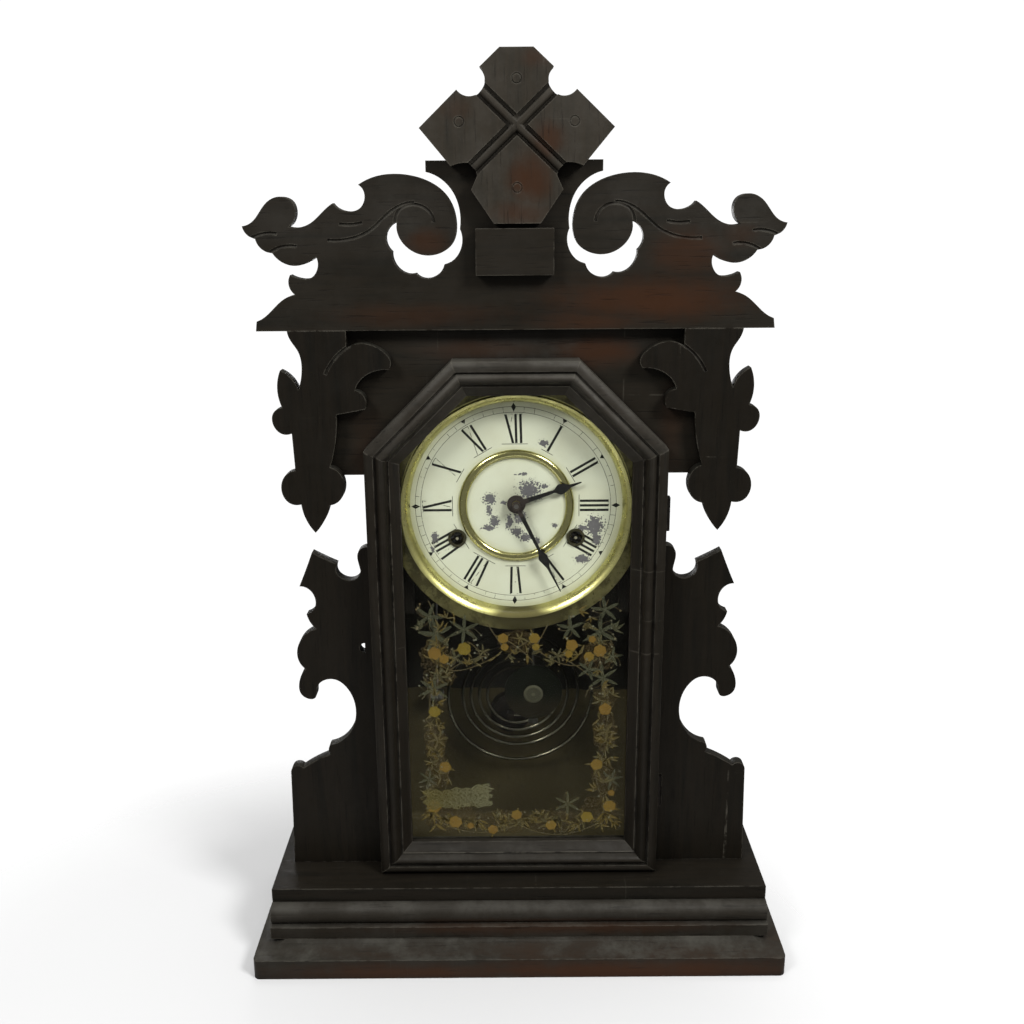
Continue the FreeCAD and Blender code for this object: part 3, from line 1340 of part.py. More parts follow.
def strike_train(places):
    """The striking side: great wheel, pin wheel that lifts the hammer, and the fly that slows it."""
    leaves = size.lantern_teeth
    main_r = size.main_distance * size.main_teeth / (size.main_teeth + leaves)
    main_wheel("strike_main_wheel", places["strike_main"], main_r, 0.0)
    leaf = meshing_phase(places["strike_main"], places["strike"], size.main_teeth, 0.0, leaves)
    disc = toothed("pin_wheel_disc", places["strike"], size.strike_teeth, size.strike_wheel, 0.0,
                   level("second_level"), "wheel_thick")
    pinion = lantern("pin_wheel_lantern", places["strike"], size.main_distance - main_r, leaf,
                     level("main_level"), size.main_thick)
    stem = arbor("pin_wheel_stem", places["strike"], size.arbor_thin, size.plate_front, size.rear_plate_back)
    pins = []
    x, z = places["strike"]
    y = level("second_level") - size.lift_pin_long
    for i in range(size.lift_pin_count):
        turn = 2 * math.pi * i / size.lift_pin_count
        spot = point(x + size.lift_pin_circle * math.cos(turn), y, z + size.lift_pin_circle * math.sin(turn))
        pins.append(Part.makeCylinder(size.lift_pin, size.wheel_thick + size.lift_pin_long, spot, BACK))
    lift = made("lift_pins", Part.makeCompound(pins))
    keep(join("strike_pin_wheel", disc, pinion, stem, lift))
    fly_leaf = meshing_phase(places["strike"], places["fly"], size.strike_teeth, 0.0, leaves)
    pinion = lantern("fly_lantern", places["fly"], size.strike_lantern, fly_leaf,
                     level("second_level"), size.wheel_thick)
    stem = arbor("fly_stem", places["fly"], size.arbor_thin, size.plate_front, size.rear_plate_back)
    x, z = places["fly"]
    blade = made("fly_blade_plate", Part.makeBox(
        2 * size.fly_radius, size.fly_deep, size.fly_blade,
        point(x - size.fly_radius, level("fly_level"), z - size.fly_blade / 2)))
    keep(join("strike_fly", pinion, stem, blade))


# Hands and motion work

def minute_stem(places):
    """The hand arbor, with the cannon pinion that drives the minute wheel."""
    front = size.minute_hand_back - size.hand_thick - size.hand_nut_thick
    x, z = places["centre"]
    shaft = arbor("hand_arbor_shaft", places["centre"], size.minute_arbor, front, size.rear_plate_back)
    cannon_r = size.motion_distance * size.cannon_teeth / (size.cannon_teeth + size.minute_wheel_teeth)
    y = size.plate_front - size.running_gap - size.motion_wheel_thick
    cannon = slab("cannon_pinion", tooth_ring((x, z), size.cannon_teeth, cannon_r, 0.0, y), "motion_wheel_thick")
    return shaft, cannon


def motion_work(places):
    """Minute wheel on its stud beside the hand arbor, and the hour wheel with its pipe."""
    centre = places["centre"]
    stud = (centre[0] - size.motion_distance, centre[1])
    teeth_m, teeth_p, teeth_h = size.minute_wheel_teeth, size.minute_pinion_teeth, size.hour_wheel_teeth
    wheel_r = size.motion_distance * teeth_m / (teeth_m + size.cannon_teeth)
    pinion_r = size.motion_distance * teeth_p / (teeth_p + teeth_h)
    hour_r = size.motion_distance - pinion_r
    y = size.plate_front - size.running_gap - size.motion_wheel_thick
    phase = meshing_phase(centre, stud, size.cannon_teeth, 0.0, teeth_m)
    wheel = slab("minute_wheel_disc", tooth_ring(stud, teeth_m, wheel_r, phase, y), "motion_wheel_thick")
    leaf_y = y - size.motion_pinion_thick
    leaf = slab("minute_wheel_pinion", tooth_ring(stud, teeth_p, pinion_r, 0.0, leaf_y), "motion_pinion_thick")
    bore = arbor("minute_wheel_bore", stud, size.arbor_thin + size.pivot_play,
                 leaf_y - size.overrun, size.plate_front + size.overrun)
    keep(cut("minute_wheel", join("minute_wheel_solid", wheel, leaf), bore))
    hour_phase = meshing_phase(stud, centre, teeth_p, 0.0, teeth_h)
    hour_y = leaf_y + size.running_gap
    disc = slab("hour_wheel_disc", tooth_ring(centre, teeth_h, hour_r, hour_phase, hour_y), "motion_wheel_thick")
    pipe = arbor("hour_pipe_outer", centre, size.hour_pipe, size.hour_hand_back - size.hand_thick,
                 hour_y + size.motion_wheel_thick)
    hole = arbor("hour_pipe_hole", centre, size.arbor_bore, size.minute_hand_back,
                 size.plate_front + size.overrun)
    keep(cut("hour_wheel", join("hour_wheel_solid", disc, pipe), hole))
    return stud, leaf_y


def motion_stud(stud, leaf_y):
    """The fixed stud of the minute wheel, riveted in the front plate."""
    return arbor("motion_stud", stud, size.arbor_thin, leaf_y - size.running_gap, size.plate_front)


HOUR_HAND_SHARES = [
    [(0.0, 0.040), (0.54, 0.024)],
    [(0.54, 0.024), (0.60, 0.030), (0.66, 0.075), (0.72, 0.070), (0.82, 0.024)],
    [(0.82, 0.024), (1.0, 0.007)],
]
MINUTE_HAND_SHARES = [
    [(0.0, 0.024), (0.52, 0.014)],
    [(0.52, 0.014), (0.60, 0.050)],
    [(0.60, 0.050), (0.72, 0.014)],
    [(0.72, 0.014), (1.0, 0.005)],
]


def hand(name, shares, reach, turn_angle, boss, bore):
    """A flat hand with a swelling, set at the photographed hour; clockwise angle from twelve."""
    turn = math.radians(turn_angle)
    y = getattr(size, f"{name}_back") - size.hand_thick

    def place(along, across):
        a, b = along * reach, across * reach
        across_x, up_z = b * math.cos(turn), a * math.cos(turn)
        return point(a * math.sin(turn) + across_x, y, size.dial_z + up_z - b * math.sin(turn))
    right = [stroke([place(a, b) for a, b in line]) for line in shares]
    left = [stroke([place(a, -b) for a, b in line]) for line in shares]
    start = [edge.valueAt(edge.FirstParameter) for edge in (left[0], right[0])]
    ends = [edge.valueAt(edge.LastParameter) for edge in (right[-1], left[-1])]
    outline = right + [Part.makeLine(*ends)] + left[::-1] + [Part.makeLine(*start)]
    blade = slab(f"{name}_blade", face_of(outline), "hand_thick")
    disc = rod(f"{name}_boss", ("0", f"{name}_back - hand_thick", "dial_z"), boss, "hand_thick")
    hole = made(f"{name}_hole", Part.makeCylinder(bore, 2 * size.overrun,
                                                  point(0, y - size.overrun, size.dial_z), BACK))
    return keep(cut(name, join(f"{name}_solid", blade, disc), hole))


def hands():
    """Both hands and the nut that holds them."""
    hand("hour_hand", HOUR_HAND_SHARES, size.hour_hand_reach, size.hour_hand_angle,
         "hour_collet", size.hour_pipe)
    hand("minute_hand", MINUTE_HAND_SHARES, size.minute_hand_reach, size.minute_hand_angle,
         "hand_nut_radius", size.minute_arbor)
    y = size.minute_hand_back - size.hand_thick - size.hand_nut_thick
    nut = rod("hand_nut_round", ("0", "minute_hand_back - hand_thick - hand_nut_thick", "dial_z"),
              "hand_nut_radius", "hand_nut_thick")
    hole = made("hand_nut_hole", Part.makeCylinder(size.minute_arbor, 2 * size.overrun,
                                                   point(0, y - size.overrun, size.dial_z), BACK))
    keep(cut("hand_nut", nut, hole))


# Escapement, pendulum, gong and hammer

def verge(places):
    """The bent pallet strip over the escape wheel, with its arbor and the crutch that leads the pendulum."""
    x, z = places["escape"]
    y = level("escape_level") - (size.verge_deep - size.wheel_thick) / 2
    inner = size.escape_radius + size.verge_clear
    outer = inner + size.verge_band
    centre = point(x, y, z)
    ring = Part.makeCylinder(outer, size.verge_deep, centre, BACK)
    ring = ring.cut(Part.makeCylinder(inner, size.verge_deep, centre, BACK))
    span = math.radians(size.verge_span_angle)
    reach = 2 * outer
    wedge = [centre, centre + point(reach * math.sin(span), 0, reach * math.cos(span)),
             centre + point(0, 0, 2 * reach),
             centre + point(-reach * math.sin(span), 0, reach * math.cos(span))]
    band = ring.common(Part.Face(polygon(wedge)).extrude(BACK * size.verge_deep))
    hub = Part.makeCylinder(size.verge_hub, size.verge_deep, point(x, y, size.verge_z), BACK)
    web = Part.makeBox(size.verge_hub, size.verge_deep, size.verge_over_wheel - inner - size.verge_band / 2,
                       point(x - size.verge_hub / 2, y, z + inner + size.verge_band / 2))
    crutch_back = size.plate_front - size.crutch_forward + size.crutch_strip
    crutch_front = crutch_back - size.crutch_strip
    stem = Part.makeCylinder(size.arbor_thin, y + size.verge_deep - crutch_front,
                             point(x, crutch_front, size.verge_z), BACK)
    half = size.pendulum_rod + size.fork_play + size.fork_prong
    strip = Part.makeBox(2 * size.arbor_thin, size.crutch_strip, size.verge_z - size.crutch_z,
                         point(x - size.arbor_thin, crutch_front, size.crutch_z))
    foot = Part.makeBox(2 * half, size.crutch_strip, 2 * size.fork_prong,
                        point(x - half, crutch_front, size.crutch_z - size.fork_prong))
    reach_front = size.pendulum_y - size.pendulum_rod
    prongs = [Part.makeBox(size.fork_prong, crutch_front - reach_front, 2 * size.fork_prong,
                           point(x + offset, reach_front, size.crutch_z - size.fork_prong))
              for offset in (-half, half - size.fork_prong)]
    shape = band.fuse([hub, web, stem, strip, foot] + prongs).removeSplitter()
    keep(made("verge", shape))


def pendulum():
    """A thin rod from the suspension down to a lens-shaped bob with a rating nut under it."""
    x, y, z = size.pendulum_x, size.pendulum_y, size.bob_z
    low = size.bob_radius + size.bob_nut_high
    length = size.pendulum_length + low
    shaft = rod("pendulum_shaft", ("pendulum_x", "pendulum_y", "suspension_z - pendulum_length - bob_radius"
                                   " - bob_nut_high"),
                "pendulum_rod", "pendulum_length + bob_radius + bob_nut_high", FreeCAD.Rotation())
    nut = made("rating_nut", Part.makeCylinder(size.bob_nut, size.bob_nut_high - size.running_gap,
                                               point(x, y, z - low), UP))
    keep(join("pendulum_rod", shaft, nut))
    half, rim = size.bob_thick / 2, size.bob_rim
    r, flat = size.bob_radius, size.bob_boss
    proud = half + size.bob_boss_proud
    edges = [stroke([point(x + r, y - rim, z), point(x + (r + flat) / 2, y - size.bob_swell, z),
                     point(x + flat, y - half, z)])]
    corners = [point(x + size.bob_boss_top, y - proud, z), point(x, y - proud, z), point(x, y + half, z),
               point(x + flat, y + half, z), point(x + r, y + rim, z)]
    lens = turned("bob_lens", face_of(close_through(edges, corners)), point(x, 0, z))
    bore = made("bob_bore", Part.makeCylinder(size.pendulum_rod + size.pivot_play, length, point(x, y, z - low), UP))
    keep(cut("pendulum_bob", lens, bore))


def gong_path():
    """Half turns that widen by a steady pitch, a wider last one and a quarter turn, from the post outward."""
    z, y = size.gong_z, size.gong_y
    lows = [size.gong_start + i * size.gong_pitch for i in range(size.gong_turn_count + 1)]
    lows.append(lows[-1] + size.gong_last_step)
    tops = [(a + b) / 2 for a, b in zip(lows, lows[1:])]
    start_x = -size.gong_post_x + size.gong_post_wide / 2
    edges = [Part.makeLine(point(start_x, y, z - lows[0]), point(0, y, z - lows[0]))]
    turns = []
    for low, top, following in zip(lows, tops, lows[1:]):
        turns.append((-low, top, 1))
        turns.append((top, -following, -1))
    for start, end, side in turns:
        radius = abs(end - start) / 2
        middle = (start + end) / 2
        edges.append(stroke([point(0, y, z + start), point(side * radius, y, z + middle), point(0, y, z + end)]))
    radius = lows[-1] + size.gong_wire
    centre = point(0, y, z - lows[-1] + radius)
    share = math.sqrt(0.5)
    edges.append(stroke([point(0, y, z - lows[-1]), centre + point(radius * share, 0, -radius * share),
                         centre + point(radius, 0, 0)]))
    return edges


def gong():
    """A coiled wire gong clamped in a post on an iron foot, screwed to the back board."""
    edges = gong_path()
    path = Part.Wire(edges)
    start = edges[0].valueAt(edges[0].FirstParameter)
    circle = Part.Wire(Part.Circle(start, FreeCAD.Vector(1, 0, 0), size.gong_wire).toShape())
    tube = path.makePipeShell([circle], True, False)
    keep(made("gong_coil", tube))
    report_gong(edges, tube)
    foot_front = size.gong_y + size.gong_wire + size.gong_base_gap
    post_z = size.gong_z - size.gong_start
    foot = made("gong_foot_disc", Part.makeCylinder(
        size.gong_base_radius, size.back_board_front - foot_front,
        point(-size.gong_post_x, foot_front, post_z), BACK))
    front = size.gong_y - size.gong_post_deep
    post = made("gong_post_block", Part.makeBox(
        size.gong_post_wide, foot_front - front, size.gong_post_high,
        point(-size.gong_post_x - size.gong_post_wide / 2, front, post_z - size.gong_post_high / 2)))
    hole = screw_hole("gong_foot_hole", gong_screw_head(), size.gong_screw_length)
    keep(cut("gong_base", join("gong_base_solid", foot, post), hole))
    keep(wood_screw("gong_screw", gong_screw_head(), size.gong_screw_length))


def report_gong(edges, tube):
    """Prints the wire's length, its volume against section times length, and its least gap to itself."""
    length = sum(edge.Length for edge in edges)
    expected = math.pi * size.gong_wire ** 2 * length
    points = []
    travelled = 0.0
    for edge in edges:
        steps = max(2, math.ceil(edge.Length))
        for i in range(steps):
            share = i / steps
            spot = edge.valueAt(edge.FirstParameter + (edge.LastParameter - edge.FirstParameter) * share)
            points.append((travelled + edge.Length * share, spot))
        travelled += edge.Length
    reach = 10 * size.gong_wire
    least = min(a[1].distanceToPoint(b[1]) for i, a in enumerate(points) for b in points[i + 1:]
                if b[0] - a[0] > reach)
    print(f"gong wire {length:.0f} long, volume ratio {tube.Volume / expected:.4f}, "
          f"least gap to itself {least - 2 * size.gong_wire:.2f}")


def hammer(places):
    """The gong hammer: arbor in both plates, a tail by the lifting pins and a rod down to its head."""
    x, z = places["hammer"]
    pin_x, pin_z = places["strike"]
    arbor_shape = Part.makeCylinder(size.hammer_arbor, size.rear_plate_back - size.plate_front,
                                    point(x, size.plate_front, z), BACK)
    away = math.hypot(x - pin_x, z - pin_z)
    stop = size.lift_pin_circle + size.lift_pin + size.hammer_rod + size.hammer_tail_clear
    share = (away - stop) / away
    tail_y = level("second_level") - size.running_gap - size.hammer_rod
    root = point(x, tail_y, z)
    tip = point(x + (pin_x - x) * share, tail_y, z + (pin_z - z) * share)
    tail = Part.makeCylinder(size.hammer_rod, root.distanceToPoint(tip), root, tip - root)
    side = outer_turn_reach()
    head_x = -(side + size.gong_wire + size.hammer_gap + size.hammer_head_long)
    rod_y = size.rear_plate_front - size.screw_head_thick - 2 * size.hammer_rod
    elbow = point(x, rod_y, z)
    knee = point(head_x + size.hammer_head_long / 2, rod_y, size.gong_z)
    shaft = Part.makeCylinder(size.hammer_rod, elbow.distanceToPoint(knee), elbow, knee - elbow)
    head = Part.makeCylinder(size.hammer_head, size.hammer_head_long,
                             point(head_x, rod_y, size.gong_z), FreeCAD.Vector(1, 0, 0))
    keep(made("gong_hammer", arbor_shape.fuse([tail, shaft, head]).removeSplitter()))


def outer_turn_reach():
    """How far the outermost whole turn of the gong reaches to the left."""
    low = size.gong_start + size.gong_turn_count * size.gong_pitch
    last = low + size.gong_last_step
    return ((low + last) / 2 + last) / 2


def build():
    base_board()
    base_front_moulding()
    plinth()
    case()
    head_panel()
    crest_board()
    finial()
    crest_trim()
    upper_ear("upper_ear_left", -1)
    upper_ear("upper_ear_right", 1)
    lower_ears()
    glue_blocks()
    door()
    door_glass()
    hinges()
    door_catch()
    lugs = screws_and_battens(dial())
    dial_rings()
    places = train_places()
    going_train(places)
    strike_train(places)
    stud = motion_stud(*motion_work(places))
    plates(places, lugs, stud)
    winding_arbor("time_winding_arbor", places["main"])
    winding_arbor("strike_winding_arbor", places["strike_main"])
    mainsprings(places)
    hands()
    verge(places)
    pendulum()
    gong()
    hammer(places)


def check_and_write():
    """Stops at any failed object or bad shape, then writes one file for each sub-part."""
    doc.recompute()
    failed = [item.Label for item in doc.Objects if {"Invalid", "Error"} & set(item.State)]
    if failed:
        raise SystemExit(f"failed objects: {failed}")
    for item in parts:
        if item.Shape.isNull() or not item.Shape.isValid() or not item.Shape.Solids:
            raise SystemExit(f"bad shape: {item.Label}")
    os.makedirs("parts", exist_ok=True)
    for item in parts:
        item.Shape.exportStep(f"parts/{item.Label}.step")
    print(f"{len(parts)} sub-parts written")


build()
check_and_write()
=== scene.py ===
import math

import bpy
import numpy as np
from mathutils import Matrix, Vector


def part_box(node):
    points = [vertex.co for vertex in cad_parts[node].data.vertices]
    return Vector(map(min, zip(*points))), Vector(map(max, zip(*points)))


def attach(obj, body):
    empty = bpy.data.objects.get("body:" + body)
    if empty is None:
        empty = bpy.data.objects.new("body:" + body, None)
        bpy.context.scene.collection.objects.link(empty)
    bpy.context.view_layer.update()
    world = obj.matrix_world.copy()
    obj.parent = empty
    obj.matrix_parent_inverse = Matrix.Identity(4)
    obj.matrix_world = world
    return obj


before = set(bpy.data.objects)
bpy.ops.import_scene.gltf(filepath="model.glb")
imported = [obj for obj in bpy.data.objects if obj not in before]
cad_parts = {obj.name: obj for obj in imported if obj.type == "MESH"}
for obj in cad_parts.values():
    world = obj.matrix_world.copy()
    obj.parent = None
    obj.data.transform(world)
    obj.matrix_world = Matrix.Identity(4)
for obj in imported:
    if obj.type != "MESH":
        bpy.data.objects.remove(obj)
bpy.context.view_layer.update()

MM = 0.001
RNG = np.random.default_rng(7)


# Places read from the frame

def low_high(node):
    """A node's lowest and highest corners, as two arrays."""
    low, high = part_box(node)
    return np.array(low), np.array(high)


ring_low, ring_high = low_high("dial_centre_ring")
DIAL_CENTRE = (ring_low[2] + ring_high[2]) / 2
DIAL_FACE = low_high("dial_plate")[0][1]
GLASS_BACK = low_high("door_glass")[1][1]
BACK_FACE = low_high("back_board")[0][1]
CASE_FLOOR = low_high("plinth_top_board")[1][2]


# Shader arithmetic

# Numbers of the colour sockets on a Mix node
MIX_SHARE, MIX_FIRST, MIX_SECOND, MIX_RESULT = 0, 6, 7, 2
EDGE_GAIN = 7


class Value:
    """A socket of a finish; Python's operators add Math nodes to it."""

    def __init__(self, finish, socket):
        self.finish = finish
        self.socket = socket

    def math(self, operation, *others):
        """A Math node on this value and any others."""
        return self.finish.node("Math", {"operation": operation}, [self, *others])

    def __add__(self, other):
        return self.math("ADD", other)

    def __sub__(self, other):
        return self.math("SUBTRACT", other)

    def __rsub__(self, other):
        return self.finish.node("Math", {"operation": "SUBTRACT"}, [other, self])

    def __mul__(self, other):
        return self.math("MULTIPLY", other)

    def __truediv__(self, other):
        return self.math("DIVIDE", other)

    __radd__ = __add__
    __rmul__ = __mul__

    def least(self, other):
        return self.math("MINIMUM", other)

    def most(self, other):
        return self.math("MAXIMUM", other)

    def between(self, low, high):
        """Eases from 0 at low to 1 at high; low may be the larger."""
        settings = {"interpolation_type": "SMOOTHSTEP"}
        if low < high:
            return self.finish.node("MapRange", settings, [self, low, high, 0.0, 1.0])
        return 1 - self.finish.node("MapRange", settings, [self, high, low, 0.0, 1.0])


class Finish:
    """The nodes of a new material or world."""

    def __init__(self, name, kind="Material"):
        owners = {"Material": bpy.data.materials, "World": bpy.data.worlds}
        self.owner = owners[kind].new(name)
        self.owner.use_nodes = True
        self.tree = self.owner.node_tree
        self.tree.nodes.clear()
        self.output = self.tree.nodes.new("ShaderNodeOutput" + kind)

    def node(self, kind, settings=None, inputs=(), output=0):
        """A shader node: its kind, settings, values or links of its sockets, and the output wanted."""
        made = self.tree.nodes.new("ShaderNode" + kind)
        for name, setting in (settings or {}).items():
            if name == "stops":
                self.fill_ramp(made.color_ramp, setting)
            else:
                setattr(made, name, setting)
        pairs = inputs.items() if isinstance(inputs, dict) else enumerate(inputs)
        for key, value in pairs:
            if isinstance(value, Value):
                self.tree.links.new(value.socket, made.inputs[key])
            else:
                made.inputs[key].default_value = value
        return Value(self, made.outputs[output])

    @staticmethod
    def fill_ramp(ramp, stops):
        ramp.elements.remove(ramp.elements[1])
        ramp.elements[0].position, ramp.elements[0].color = stops[0][0], (*stops[0][1], 1)
        for position, colour in stops[1:]:
            ramp.elements.new(position).color = (*colour, 1)

    def place(self):
        return self.node("TexCoord", output="Object")

    def stretched(self, scale, shift=(0, 0, 0), turn=(0, 0, 0)):
        """Object coordinates, turned and then stretched along each axis."""
        return self.node("Mapping", {}, {"Vector": self.place(), "Scale": scale, "Location": shift,
                                                   "Rotation": turn})

    def noise(self, place, scale, detail, roughness, distortion=0.0):
        return self.node("TexNoise", {}, {"Vector": place, "Scale": scale, "Detail": detail,
                                                    "Roughness": roughness, "Distortion": distortion})

    def cells(self, place, scale):
        """How far a place is from the nearest of many scattered points."""
        return self.node("TexVoronoi", {}, {"Vector": place, "Scale": scale}, "Distance")

    def ramp(self, value, *stops):
        return self.node("ValToRGB", {"stops": stops}, [value])

    def mix(self, share, a, b):
        """Colour a where share is 0 and colour b where it is 1."""
        opaque = [c if isinstance(c, Value) else (*c, 1) for c in (a, b)]
        sockets = {MIX_SHARE: share, MIX_FIRST: opaque[0], MIX_SECOND: opaque[1]}
        return self.node("Mix", {"data_type": "RGBA"}, sockets, MIX_RESULT)

    def axis(self, vector, name):
        return self.node("SeparateXYZ", {}, [vector], name.upper())

    def facing(self, name):
        """How far the surface faces along an axis of the object's frame."""
        return self.axis(self.node("NewGeometry", output="Normal"), name)

    def edges(self, radius):
        """1 on sharp edges, 0 on flat ground, from how far the rounded normal leaves the true one."""
        rounded = self.node("Bevel", {"samples": 4}, {"Radius": radius})
        true = self.node("NewGeometry", output="Normal")
        agree = self.node("VectorMath", {"operation": "DOT_PRODUCT"}, [rounded, true], "Value")
        return (1 - agree) * EDGE_GAIN

    def crevices(self, reach):
        """1 in corners, 0 in the open."""
        return 1 - self.node("AmbientOcclusion", {"samples": 6}, {"Distance": reach}, "AO")

    def surface(self, bump=None, depth=0.0005, strength=1.0, gloss=0.5, **sockets):
        """The Principled shader; words with underscores name its sockets."""
        inputs = {name.replace("_", " ").title(): value for name, value in sockets.items()}
        inputs["Specular IOR Level"] = gloss
        if bump is not None:
            inputs["Normal"] = self.node("Bump", {}, {"Strength": strength, "Distance": depth,
                                                                "Height": bump})
        shader = self.node("BsdfPrincipled", {}, inputs)
        self.tree.links.new(shader.socket, self.output.inputs["Surface"])
        self.shader = shader
        return self.owner

    def see_through(self, share):
        """Lets the ground show through where share is 1."""
        clear = self.node("BsdfTransparent")
        mixed = self.node("MixShader", {}, [share, self.shader, clear])
        self.tree.links.new(mixed.socket, self.output.inputs["Surface"])
        return self.owner


# Finishes

SHEEN = 0.07
GLASS_GLOSS = 0.03
ARRIS, WOOD_CORNER, BRASS_CORNER = 1.0 * MM, 7.0 * MM, 4.0 * MM

# Colours, as linear red, green and blue
WOOD_BLACK = (0.0060, 0.0055, 0.0038)
WOOD_BROWN = (0.0125, 0.0098, 0.0064)
WOOD_RED = (0.0330, 0.0135, 0.0060)
# WOOD_WORN_AND_LIT: worn wood on scratches and arrises, and also a painted highlight on the arrises
WOOD_WORN_AND_LIT = (0.085, 0.078, 0.062)
# GREY_FILM_AND_SHEEN: a grey film on the shellac, and also a painted sheen on faces turned up
GREY_FILM_AND_SHEEN = (0.0312, 0.0284, 0.0238)
# DUST_AND_SHEEN: dust, and also a painted sheen on faces turned up
DUST_AND_SHEEN = (0.070, 0.068, 0.056)
# PORE_AND_SHADE: the dark of the pores, and also painted shade in the wood's corners
PORE_AND_SHADE = (0.0022, 0.0018, 0.0015)
PAPER_PALE, PAPER_DARK, PAPER_FOXED = (0.064, 0.052, 0.025), (0.051, 0.041, 0.020), (0.016, 0.013, 0.008)
# TARNISH_AND_SHADE: tarnish, and also painted shade at the bezel ring's foot
TARNISH_AND_SHADE = (0.085, 0.074, 0.030)
RUST = (0.040, 0.020, 0.010)
# Wire colours: painted shade on the upper turns, painted light on the lower turns
WIRE_SHADED, WIRE_LIT = (0.011, 0.0098, 0.0066), (0.15, 0.14, 0.10)
BOB_BLACK, BOB_GREEN = (0.0026, 0.0032, 0.0020), (0.0048, 0.0056, 0.0034)
BOB_BROWN, BOB_PALE = (0.015, 0.0125, 0.0072), (0.066, 0.064, 0.042)
ARBOR_DARK, ARBOR_BRIGHT = (0.006, 0.006, 0.005), (0.40, 0.38, 0.28)
IVORY = (0.600, 0.618, 0.495)
IVORY_STAIN = (0.53, 0.53, 0.40)
IVORY_YELLOW = (0.43, 0.42, 0.20)
BARE_TIN = (0.118, 0.114, 0.120)
INK_BLACK, INK_GREY = (0.006, 0.006, 0.0055), (0.02, 0.02, 0.018)
HAND_BLACK, HAND_BARE, HUB_BROWN = (0.008, 0.008, 0.008), (0.024, 0.022, 0.019), (0.042, 0.033, 0.029)
SMEAR_DARK, SMEAR_PALE, PANE_TINT = (0.10, 0.10, 0.08), (0.16, 0.15, 0.12), (0.98, 0.985, 0.97)
FLOOR_DARK, FLOOR_PALE = (0.56, 0.56, 0.56), (0.58, 0.58, 0.58)


def toned(colour, share):
    """A colour made lighter or darker by a share."""
    return tuple(channel * share for channel in colour)


def across_and_up(f, height=0.0):
    """Millimetres across and up from the frame's origin, or from a height in metres above it."""
    place = f.place()
    return f.axis(place, "x") / MM, (f.axis(place, "z") - height) / MM


def patch(x, z, across, up, wide, high):
    """How far a place is from an oval's middle: 1 on its edge."""
    dx, dz = (x - across) / wide, (z - up) / high
    return (dx * dx + dz * dz).math("SQRT")


def drawn_out(along, with_grain, over_grain):
    """Scales of a pattern that is drawn out along one axis."""
    return [with_grain if axis == along else over_grain for axis in "xyz"]


def scratches(f, scale, shift, lean, least):
    """Thin straight scratches: the peaks of a noise drawn out along one axis and leaned sideways."""
    return f.noise(f.stretched(scale, shift, (0, lean, 0)), 1.0, 2, 0.4).between(least, least + 0.03)


